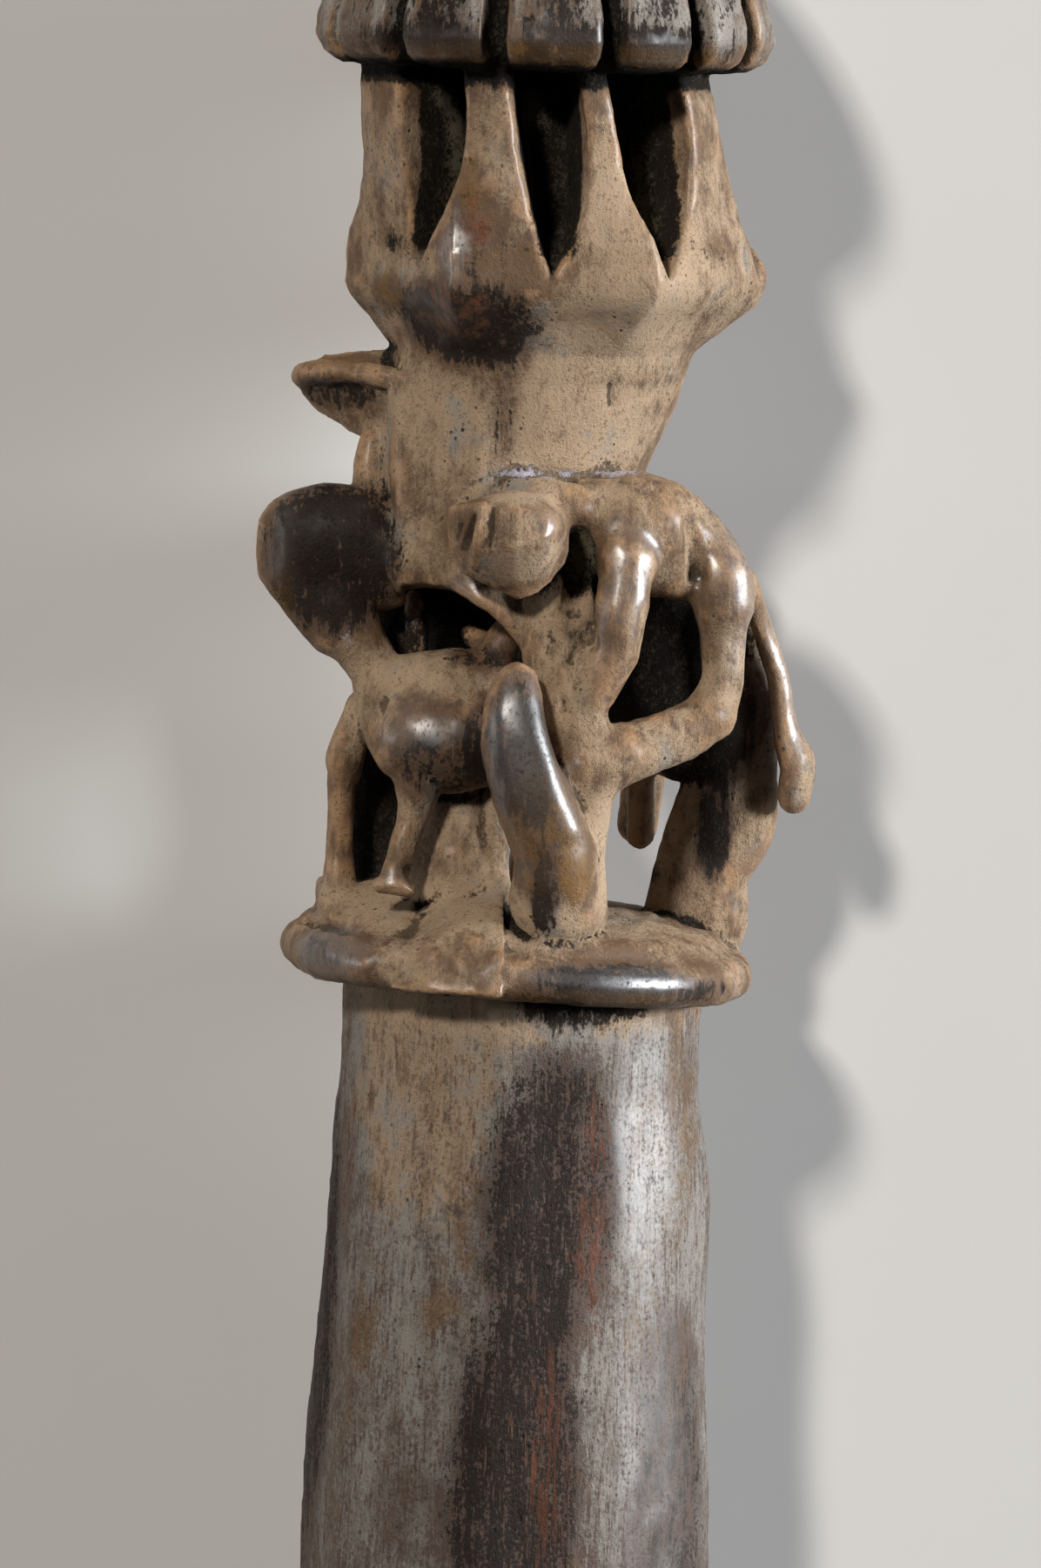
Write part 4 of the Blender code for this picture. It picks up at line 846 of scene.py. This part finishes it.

# How each place of the skin fared, from 0 to 1, for the finish. The patches are where smoke and hands turned
# the wood dark and where painted shade darkens it, where dust or crust stayed on it, where varnish or
# red-brown wood shows, where hands polished it, and where old glue oozed out.
PATCHES = {
    # Dark stains, and painted shade under the cap and the rim, on the cone's left, the drum's face, the fin,
    # the walls of the openwork, the lump by the chest and the shaft's left edge.
    "stain_and_shade": (
        ((-7.2, 54.4, 12), (10, 4.8, 9), 0.88), ((-4, 53.2, 13), (3, 3, 5), 0.35),
        ((-14, 62, 6), (6, 12, 10), 0.18), ((-4, 60, 15), (6, 5, 5), 0.35),
        ((0, 82, 10), (24, 16, 22), 0.42), ((-0.4, 20.5, 18), (5.2, 10, 4.5), 0.66),
        ((1.6, 8.6, 18), (1.7, 6, 5), 0.75), ((3.6, 13, 18), (1.8, 5, 5), 0.35),
        ((15.6, 21.5, 0.5), (5, 7.5, 5.5), 1), ((-6, 12, 4), (4, 6, 4), 1),
        ((15.5, 12.5, 0.5), (2.2, 7, 5.5), 0.9), ((0, -85, 0), (40, 70, 30), 0.3),
        ((-2.6, 27.4, 6), (2.4, 2.6, 3), 0.45), ((3, -15.5, 15), (8.4, 16, 12), 0.84),
        ((0.4, -38, 16), (7.2, 22, 12), 0.8), ((-17.6, -26, 0), (4.6, 32, 12), 1),
        ((-7.6, -43, 13), (6, 6, 9), 0.2), ((-13, -15, 9), (1.5, 6, 6), 0.3),
        ((-9, 77, 14), (9, 2.4, 8), 0.48), ((6, 77, 16), (10, 2.4, 8), 0.44),
        ((0, 74.6, 14), (24, 0.9, 16), 0.9), ((-7, 18.5, 12), (7, 5, 6), 0.5),
        ((-14.6, 2.6, 9), (5.6, 2.6, 8), 0.62), ((8, 0.6, 14), (14, 1.8, 12), 0.75),
        ((-5.6, 37.4, 16.5), (1.6, 3, 3), 0.35), ((-2.6, 38.6, 18.6), (2, 1.7, 2.6), 0.35),
        ((13, -40, 9), (6, 22, 9), 0.5), ((4.5, -1.2, 15), (8.5, 1.7, 6), 0.72),
        ((-2.4, -44, 16.5), (2.2, 15, 9), 0.75), ((1.2, -18, 16.5), (3.4, 12, 9), 0.45),
        ((2, -40, 16.5), (4.4, 22, 9), 0.42), ((-16, -20, 6), (2.2, 26, 9), 0.5),
        ((-9.6, 63, 12), (1.2, 5, 4), 0.3), ((-6.8, 64, 13), (1.6, 6, 4), 0.4),
        ((0.6, 19, 18.5), (1.9, 7, 4.5), 0.55), ((-16.8, 35, 7), (8, 9, 8), 1.05),
        ((8, 2.1, 18), (11, 1.7, 7), 0.85), ((-2.8, 20.5, 12), (3.6, 5, 5), 0.8),
        ((-4.6, 26.8, 7), (5, 1.6, 4), 0.5), ((-17, 48, 2), (6, 2.2, 6), 0.6),
        ((-3, 46, 12), (2.5, 7, 3), 0.4)
    ),
    "dusted": (
        ((0, 6.8, 6), (20, 3.4, 16), 1.1), ((8, 54.6, 12), (9, 4.6, 9), 0.8),
        ((-9.5, 47, 9), (4, 6, 6), 0.5), ((-14, 60, 8), (5, 10, 8), 0.3),
        ((-8, -8, 12), (12, 14, 12), 1.1), ((3, -1.6, 15), (14, 3.4, 9), 0.8),
        ((-8, -26, 13), (8, 16, 12), 0.3), ((12, -16, 10), (6, 24, 12), 0.4),
        ((-1.5, -27.5, 16), (3, 4.5, 6), 0.7), ((4, 46.5, 10), (12, 7, 9), 0.55),
        ((9, 63, 13), (10, 10, 9), 0.8), ((9, 78, 14), (10, 7, 10), 0.6),
        ((2.6, 28, 13), (4.5, 8, 4), 0.6), ((5, 12, 13), (4, 8, 4), 1), ((15.5, 27, 8), (3.4, 7, 5), 0.8),
        ((11, 14, -3), (5, 8, 6), 0.5), ((-8, 25.5, 8), (9, 2.6, 5), 0.6),
        ((-1, 35.6, 17.5), (2.6, 2.2, 3), 0.7), ((-0.5, 41, 15.5), (5, 1.6, 4), 0.7),
        ((17.6, 30, 0), (3, 5.5, 5), 0.8), ((-14.6, 24.5, 6), (2.6, 5, 5), 0.5)
    ),
    "amber": (
        ((0, 76, 15), (22, 2.1, 14), 0.95), ((3.6, 38.2, 16.5), (2, 4, 3.5), 0.55),
        ((-4.8, 18.5, 17), (1.8, 10, 5), 0.55), ((0.8, 14, 18), (5, 9, 5), 0.62),
        ((4.2, 10.5, 16.5), (2, 5, 5), 0.55), ((6, 0.2, 17), (14, 1.3, 9), 0.85),
        ((-13, 1, 10), (7, 1.6, 8), 0.65), ((-6.2, 65, 13), (2.6, 4.5, 3), 0.7),
        ((-13.5, 56.5, 8), (4, 3, 6), 0.65), ((-20.4, 33, 3.5), (2, 7, 5), 0.75),
        ((-17.4, 50.6, 1), (6, 1, 6), 0.6), ((17, -16, 4), (2, 9, 5), 0.6),
        ((14.6, -7, 8), (2.4, 6, 5), 0.45)
    ),
    "red": (
        ((1.8, 42.4, 12), (0.9, 0.5, 2), 1), ((-6, 22.6, 11.5), (5.5, 4.5, 4.5), 0.36),
        ((6.2, -17, 14), (2.6, 14, 7), 0.48), ((3.2, -38, 15.5), (2.6, 13, 7), 0.56),
        ((-14.6, -14, 8), (2, 12, 6), 0.4), ((-2.6, 27.6, 6.5), (2.4, 2.6, 3), 0.5),
        ((-8, 55.4, 13), (8.5, 4, 8), 0.55), ((-5.6, 62.5, 14), (2.6, 4, 4), 0.5),
        ((-5, 8.6, 15), (2, 3, 3), 0.35)
    ),
    "crusted": (
        ((9.9, 66.5, 6), (3.8, 9.5, 5.5), 0.85), ((6.9, 64, 9.5), (1.8, 9.5, 4), 0.9),
        ((-1.9, 65, 10.5), (1.4, 9.5, 4), 0.8), ((-9, 68.5, 7.5), (4, 7, 5), 0.6),
        ((-1.2, 71.6, 9), (1.6, 2.6, 3.5), 1), ((12, 24.4, 2), (4.5, 2.2, 4), 0.9),
        ((9.6, 22, 6), (4, 1.6, 4), 0.9), ((3.8, 35.5, 12.5), (1.8, 3.5, 3), 0.7),
        ((-9, 27.2, 4.5), (5, 1.6, 4), 0.8), ((-14.5, 48, 3), (4.5, 2, 5), 0.7)
    ),
    "polish": (
        ((0.5, 18, 18), (6, 12, 4.5), 1.4), ((8, 2.4, 18), (12, 2.6, 8), 1.6),
        ((-14, 2.8, 10), (7, 2.4, 8), 1.6), ((7.8, 35.3, 13.5), (3.8, 5, 4), 1.2),
        ((6.6, 30, 15), (2.4, 6, 3), 0.7), ((1, 39, 17), (3.2, 2.2, 3), 0.9),
        ((20.5, 24, 0), (3, 12, 4), 1), ((15.4, 32.5, 8), (4, 8, 5), 1.5),
        ((-9, 21.5, 12), (5, 4, 4), 0.9), ((-10.5, 9, 13.5), (2, 1.6, 2), 1),
        ((-5, 32.5, 10.5), (3, 2, 3), 0.8), ((-20.5, 35.5, 3), (2, 6, 5), 0.5),
        ((11, -11, 11), (4, 15, 8), 0.8), ((12, -38, 11), (5, 22, 8), 0.5),
        ((0, 76.4, 17), (20, 2.4, 14), 0.4), ((-7.4, 60.2, 14.5), (1.6, 2.6, 3), 1.2),
        ((13.6, 8.2, 10), (5, 3, 8), 0.5), ((-8, 55.6, 12), (7, 2, 7), 0.35)
    ),
    "glue": (
        ((-9.7, 29.6, 2.5), (1.3, 2, 2.5), 0.55), ((-4.4, 28.4, 4), (1.3, 1.2, 2.5), 0.5),
        ((-14.9, 28.2, 6), (0.9, 1.4, 3), 0.6)
    ),
}
OPEN_GAPS = (((9, 14.5, -5), (4, 7, 5), 1), ((14, 10, -2), (5, 9, 6), 1))
# Where the painted shade of the openwork is deeper, and with a minus sign lighter.
OPENWORK_SHADE_SPOTS = (
    ((16, 27, -1), (4.5, 10, 4.5), 0.5), ((0.6, 34.6, 12), (2.6, 3.6, 3), 0.5),
    ((3.4, 35, 12.4), (1.6, 4, 2.4), 0.7), ((-6, 12, 3.5), (4.5, 7, 5), -1.4), ((-10, 32, 3), (2, 3, 4), -1)
)
# Where a painted shadow stays on the shaft under the platform's rim.
UNDER_RIM_SHADOW = (((6.5, -1.2, 14), (7, 2.6, 7), 1),)
LOBE_HEIGHT = 14
places = rows_of(staff.data.vertices, "co")
x, y, z = places.T
over_rim = y - CAP_UNDERSIDE
wide, close = sampled(wide_share, places), sampled(near_share, places)
fared = {name: patches(places, spots) for name, spots in PATCHES.items()}

# The heart of the openwork and the insides of the lantern and the flutes are painted darkest, as shade.
openwork_shade = smooth((5.5 - z) / 4) * smooth((PLATFORM_RADIUS - 1 - np.abs(x)) / 4)
openwork_shade *= smooth((y - PLATFORM_TOP - 0.5) / 2) * smooth((NECK_FOOT - 2 - y) / 3)
openwork_shade = openwork_shade * (1 - patches(places, OPEN_GAPS)) + patches(places, OPENWORK_SHADE_SPOTS)
crack = from_line(places, OLD_CRACK)
hollowed = smooth((wide - 0.53) / 0.20) * (1 - 0.85 * np.exp(-(crack / 2.2) ** 2) * smooth(z / 3))
# Under the platform the painted shade is taken away, save where a painted shadow stays under the rim.
hollowed *= 1 - 0.85 * smooth(1.2 - y) * (1 - np.clip(patches(places, UNDER_RIM_SHADOW), 0, 1))
out, around = round_staff(x, y, z, CAP_SWAY)
from_flute = np.radians(np.min([np.abs(apart(around, flute)) for flute in CAP_FLUTES], axis=0)) * out
lobes = smooth(over_rim + 0.5) * smooth((LOBE_HEIGHT - over_rim) / 6)
out, around = round_staff(x, y, z, turned(LANTERN_SWAYS, y))
# Painted shade in the flutes and inside the lantern's hollows.
sunk = lobes * smooth(1.5 - from_flute / 0.8)
sunk += smooth((turned(LANTERN_ROWS, y) - out - 1) / 1.6) * smooth((y - RING_TOP - 0.5) / 2) * 0.75
sunk *= over_rim < LOBE_HEIGHT
# A painted shadow in a band just under the cap.
sunk += smooth((over_rim + 2) / 1.2) * smooth((0.9 - over_rim) / 0.7) * 0.8
# The recess mark holds painted shade: the hollows, the flutes, the lantern's insides, the band under the cap
# and the openwork. It also gathers crust and dulls the sheen.
fared["recess"] = hollowed + sunk + openwork_shade * 0.9 * smooth((z + 9) / 4)
fared["worn"] = smooth((0.46 - close) / 0.12) * smooth((0.56 - wide) / 0.15)
fared["crease"] = smooth((close - 0.52) / 0.12)
# How much painted shade lies along each crack, cut and crease.
split = [mark * np.exp(-(from_line(places, line) / width / 1.2) ** 2) for _, width, _, mark, line in SCORES]
fared["split"] = sum(split) * smooth(z / 3)
fared["shaft"] = smooth(-y / 5)
fared["ash"] = fared["shaft"] * 0.7 + lobes * 0.8
fared["stain_and_shade"] += lobes * smooth((from_flute - 1.9) / 1.2) * 0.18
edges = smooth(1 - np.abs(from_flute - 1.6) / 0.9)
fared["dusted"] += lobes * smooth((over_rim - 1.2) / 2.6) * (edges * 0.9 + 0.35)
fared["crusted"] *= smooth((wide - 0.50) / 0.10)
fared["glue"] += np.exp(-(crack / 0.42) ** 2) * smooth(z / 3) * smooth((x + 5) / 1.5)
for name, values in fared.items():
    layer = staff.data.attributes.new(name, "FLOAT", "POINT")
    layer.data.foreach_set("value", np.clip(values, 0, 1).astype(np.float32))

staff.data.transform(lie @ Matrix.Scale(MM, 4))
resting = rows_of(staff.data.vertices, "co")
resting[:, 2] = np.maximum(resting[:, 2], 0)
move(staff.data, resting)
staff.data.shade_smooth()
staff.data.update()
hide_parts("staff")
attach(staff, "root")


# The finish: dark brown heartwood under a thin dusty brown patina, redder where hands or knocks took the
# dust off, painted near black as shade in the hollows, with grey crust there, and glossy on the high spots.
class Tone:
    """One value of a material. Sums on it add Math nodes."""

    tree = None

    def __init__(self, socket):
        self.socket = socket

    @classmethod
    def node(cls, kind, settings, sockets, output=0):
        """A node of any kind: first its settings, then the values or tones of its sockets."""
        made = cls.tree.nodes.new(kind)
        for name, value in settings.items():
            setattr(made, name, value)
        cls.feed(made, sockets)
        return cls(made.outputs[output])

    @classmethod
    def feed(cls, node, sockets):
        """Gives a node's sockets their values or tones."""
        for key, value in sockets.items():
            socket = node.inputs[key]
            if isinstance(value, Tone):
                cls.tree.links.new(value.socket, socket)
            else:
                socket.default_value = (*value, 1.0) if socket.type == "RGBA" else value

    def maths(self, operation, *values):
        return Tone.node("ShaderNodeMath", {"operation": operation}, dict(enumerate(values)))

    def __add__(self, other):
        return self.maths("ADD", self, other)

    def __radd__(self, other):
        return self.maths("ADD", other, self)

    def __sub__(self, other):
        return self.maths("SUBTRACT", self, other)

    def __rsub__(self, other):
        return self.maths("SUBTRACT", other, self)

    def __mul__(self, other):
        return self.maths("MULTIPLY", self, other)

    def __rmul__(self, other):
        return self.maths("MULTIPLY", other, self)

    def above(self, low, high):
        """0 below the low value, 1 above the high one, and smooth between."""
        settings = {"interpolation_type": "SMOOTHSTEP"}
        return Tone.node("ShaderNodeMapRange", settings, {0: self, 1: low, 2: high, 3: 0.0, 4: 1.0})


def material(name):
    """A new material and its surface shader. The tones made next are nodes of it."""
    made = bpy.data.materials.new(name)
    made.use_nodes = True
    Tone.tree = made.node_tree
    return made, made.node_tree.nodes["Principled BSDF"]


def noise(places, size, detail=3.0, roughness=0.55):
    """Random cloud from 0 to 1, of this size in millimetres along each axis."""
    scale = tuple(1 / (s * MM) for s in size)
    stretched = Tone.node("ShaderNodeVectorMath", {"operation": "MULTIPLY"}, {0: places, 1: scale})
    sockets = {"Vector": stretched, "Scale": 1.0, "Detail": detail, "Roughness": roughness}
    return Tone.node("ShaderNodeTexNoise", {}, sockets)


def layered(under, over, share):
    """One colour over another, as far as the share says."""
    return Tone.node("ShaderNodeMix", {"data_type": "RGBA"}, {0: share, 6: under, 7: over}, 2)


def painted(name):
    return Tone.node("ShaderNodeAttribute", {"attribute_name": name}, {}, 2)


# The darkest wood colour also serves as painted shade in the creases and the shaded patches.
DARK_WOOD_AND_SHADE = (0.0135, 0.0085, 0.0062)
BROWN_WOOD = (0.115, 0.066, 0.036)
PURPLE_WOOD = (0.058, 0.040, 0.036)
OCHRE_WOOD = (0.310, 0.184, 0.096)
AMBER_WOOD = (0.160, 0.082, 0.024)
RED_WOOD = (0.140, 0.042, 0.016)
DUST = (0.350, 0.250, 0.163)
GREY_DUST = (0.250, 0.230, 0.202)
CRUST = (0.155, 0.130, 0.085)
SOOT_AND_SHADE = (0.004, 0.0032, 0.0028)
GLUE = (0.400, 0.370, 0.420)

hardwood, surface = material("old hardwood")
# The marks come in the order in which they were painted.
marks = (painted(name) for name in fared)
stain_and_shade, dusted, amber, red, crusted, polish, glue, recess, worn, crease, split, shaft, ash = marks
here = Tone.node("ShaderNodeTexCoord", {}, {}, 3)
streaks = noise(here, (0.42, 6.5, 0.42), 6.0, 0.66)
clouds = noise(here, (5.0, 8.0, 5.0), 6.0, 0.60)
mottle = noise(here, (1.3, 2.2, 1.3), 7.0, 0.70)
specks = noise(here, (0.30, 0.38, 0.30), 4.0, 0.65)
grit = noise(here, (0.10, 0.10, 0.10), 2.0)
pits = Tone.node("ShaderNodeTexVoronoi", {"feature": "F1"}, {"Vector": here, "Scale": 1100.0})
streaky, mottled, speckled, gritty = streaks - 0.5, mottle - 0.5, specks - 0.5, grit - 0.5

# The bare wood: brown, ochre where it is lighter, and purplish on the shaft.
warm = clouds * 0.6 + mottle * 0.5 + streaks * 0.3 + worn * 0.20 - stain_and_shade * 0.25 - shaft * 0.22
colour = layered(BROWN_WOOD, OCHRE_WOOD, warm.above(0.66, 0.92))
purple = (clouds - mottle + 0.5 + shaft * 0.16 + stain_and_shade * 0.1).above(0.50, 0.64)
colour = layered(colour, PURPLE_WOOD, purple * (shaft * 0.30 + 0.45))

# Dust over it, then varnish and red-brown wood where the dust is off.
dusty = 0.40 + dusted * 0.50 + crease * 0.18 + ((clouds - 0.5) * 1.7 + mottled * 1.7) * (shaft * 0.2 + 1.0)
dusty = dusty + streaky * (shaft * 2.4 + 0.5) + speckled * (shaft * 1.2 + 1.0) + gritty * 0.8
dusty = dusty - worn * 0.46 - polish * 0.34 - stain_and_shade * 0.50 - amber * 0.60 - red * 0.40 + shaft * 0.10
dust_share = dusty.above(shaft * -0.15, shaft * 0.25 + 0.70)
greyer = clouds + stain_and_shade * 0.2 + ash * 0.46 - mottle * 0.6 - dusted * shaft * 0.20 - 0.10
dust_colour = layered(DUST, GREY_DUST, greyer.above(0.17, 0.38))
colour = layered(colour, dust_colour, dust_share * (0.88 - shaft * 0.10))
varnish = amber + mottled * 1.8 + streaky * 1.2 + speckled * 0.6
colour = layered(colour, AMBER_WOOD, varnish.above(0.36, 0.72) * 0.85)
ruddy = (red + mottled * 1.6 + streaky * (shaft * 3.4 + 0.6)).above(0.40, 0.70)
colour = layered(colour, RED_WOOD, ruddy * 0.80)

# Dark stains with painted shade among them, painted shade in the creases and cracks, pale powder on them,
# painted shade and crust in the recesses, glue, and the pores.
blotch = (streaks * (shaft * 0.7 + 0.15) + mottle - clouds * 0.5 - shaft * 0.28).above(0.42, 0.56)
colour = layered(colour, DARK_WOOD_AND_SHADE, blotch * (shaft * 0.20 + 0.28))
# Dark stains, with painted shade among them.
patchy = streaky * (shaft * 1.4 + 2.4) + mottled * 2.6 + speckled * (shaft * 2.2 + 1.2)
stain_and_shade_cover = (stain_and_shade * 1.05 - 0.02 + patchy * (stain_and_shade * 0.60 + 0.40)).above(0.34, shaft * 0.20 + 0.70)
colour = layered(colour, DARK_WOOD_AND_SHADE, stain_and_shade_cover * (0.97 - ruddy * 0.72 - amber * 0.35))
# Painted shade in the creases and cracks.
crease_shade = crease * 0.8 + split + mottled * 1.4 + speckled * 1.2
colour = layered(colour, DARK_WOOD_AND_SHADE, crease_shade.above(0.46, 0.86) * 0.70)
powder = speckled * 2.8 + gritty * 1.6 + streaky * (shaft * 2.0 + 0.4) + (0.16 - stain_and_shade * 0.34) * shaft
colour = layered(colour, GREY_DUST, powder.above(0.34, 0.80) * (shaft * 0.32 + 0.30 - stain_and_shade * 0.28))
# Painted shade, near black, in the recesses and the cracks.
recess_shade = recess * 1.2 + split * 0.5 + mottled * 1.5 + speckled * 0.8
colour = layered(colour, SOOT_AND_SHADE, recess_shade.above(0.36, 0.70) * 0.97)
crumbs = crusted * 0.8 + crease * 0.15 + recess * 0.35 + speckled * 2.4 + gritty * 1.6 + mottled * 1.4
crumbs = crumbs.above(0.32, 0.66)
colour = layered(colour, CRUST, crumbs * (crusted * 0.75 + 0.22))
gluey = glue + mottled * 2.2 + speckled * 1.2
colour = layered(colour, GLUE, gluey.above(0.52, 0.84) * 0.85)
pores = (0.22 - pits).above(0.0, 0.12) * (clouds + mottle).above(1.04, 1.20)
colour = layered(colour, SOOT_AND_SHADE, pores * 0.8)

# The sheen: dull dust and recesses, a thin old wax on the polished spots, and the fine grain to the touch.
gloss = 0.50 + dust_share * 0.28 + recess * 0.5 - worn * 0.06 - polish * 0.16 + speckled * 0.40
wax = 0.03 + polish * 1.1 + worn * 0.30 - dust_share * (0.12 - shaft * 0.08) - recess * 1.2
wax = wax * (specks + streaky * shaft * 0.6).above(0.24, 0.54)
height = streaks * 0.05 + grit * 0.22 + specks * 0.46 + mottle * 0.30
height = height + crumbs * 0.35 - pores * 0.6 + dust_share * 0.15
bump = Tone.node("ShaderNodeBump", {}, {"Strength": 0.9, "Distance": 0.00030, "Height": height})
Tone.feed(surface, {"Base Color": colour, "Roughness": gloss, "Coat Weight": wax, "Normal": bump})
Tone.feed(surface, {"Coat Roughness": 0.38, "Coat IOR": 1.75, "Specular IOR Level": 0.14})
staff.data.materials.clear()
staff.data.materials.append(hardwood)

# The floor: a plain pale studio floor, far wider than the picture.
FLOOR_COLOUR = (0.54, 0.53, 0.515)
FLOOR_WIDTH = 12.0
bpy.ops.mesh.primitive_plane_add(size=FLOOR_WIDTH, location=(0, 0, 0))
floor = bpy.context.object
floor.name = "studio_floor"
paper, surface = material("pale studio paper")
fibres = Tone.node("ShaderNodeTexNoise", {}, {"Scale": 900.0, "Detail": 2.0})
tint = layered(tuple(c * 0.97 for c in FLOOR_COLOUR), FLOOR_COLOUR, fibres)
Tone.feed(surface, {"Base Color": tint, "Roughness": 0.85})
floor.data.materials.append(paper)

# The light: a large soft lamp low on the right, a small warm one at the front left, a weak one low on the
# left that draws the edge there, and a faint even fill.
HEAD_MIDDLE = lie @ (Vector((0, 30, 5)) * MM)
COOL_LIGHT = (0.92, 0.96, 1.0)
WARM_LIGHT = (1.0, 0.95, 0.88)


def lamp(name, direction, distance, size, watts, colour):
    """A soft rectangular lamp that faces the carved head from a direction of the staff's frame."""
    data = bpy.data.lights.new(name, "AREA")
    data.shape = "RECTANGLE"
    data.size, data.size_y = size
    data.energy = watts
    data.color = colour
    light = placed(name, data)
    toward = (lie.to_3x3() @ Vector(direction)).normalized()
    light.location = HEAD_MIDDLE + toward * distance
    light.rotation_euler = toward.to_track_quat("Z", "Y").to_euler()


lamp("right key", (0.97, 0.18, 0.25), 3.0, (0.72, 1.20), 200.0, COOL_LIGHT)
lamp("front left", (-0.36, 0.48, 0.80), 2.4, (0.26, 0.26), 47.0, WARM_LIGHT)
lamp("left rim", (-0.97, 0.05, 0.16), 3.0, (0.40, 1.20), 13.0, COOL_LIGHT)
world = bpy.data.worlds.new("studio")
world.use_nodes = True
Tone.feed(world.node_tree.nodes["Background"], {"Color": (0.92, 0.95, 1.0), "Strength": 0.045})
bpy.context.scene.world = world
bpy.context.scene.view_settings.view_transform = "Standard"
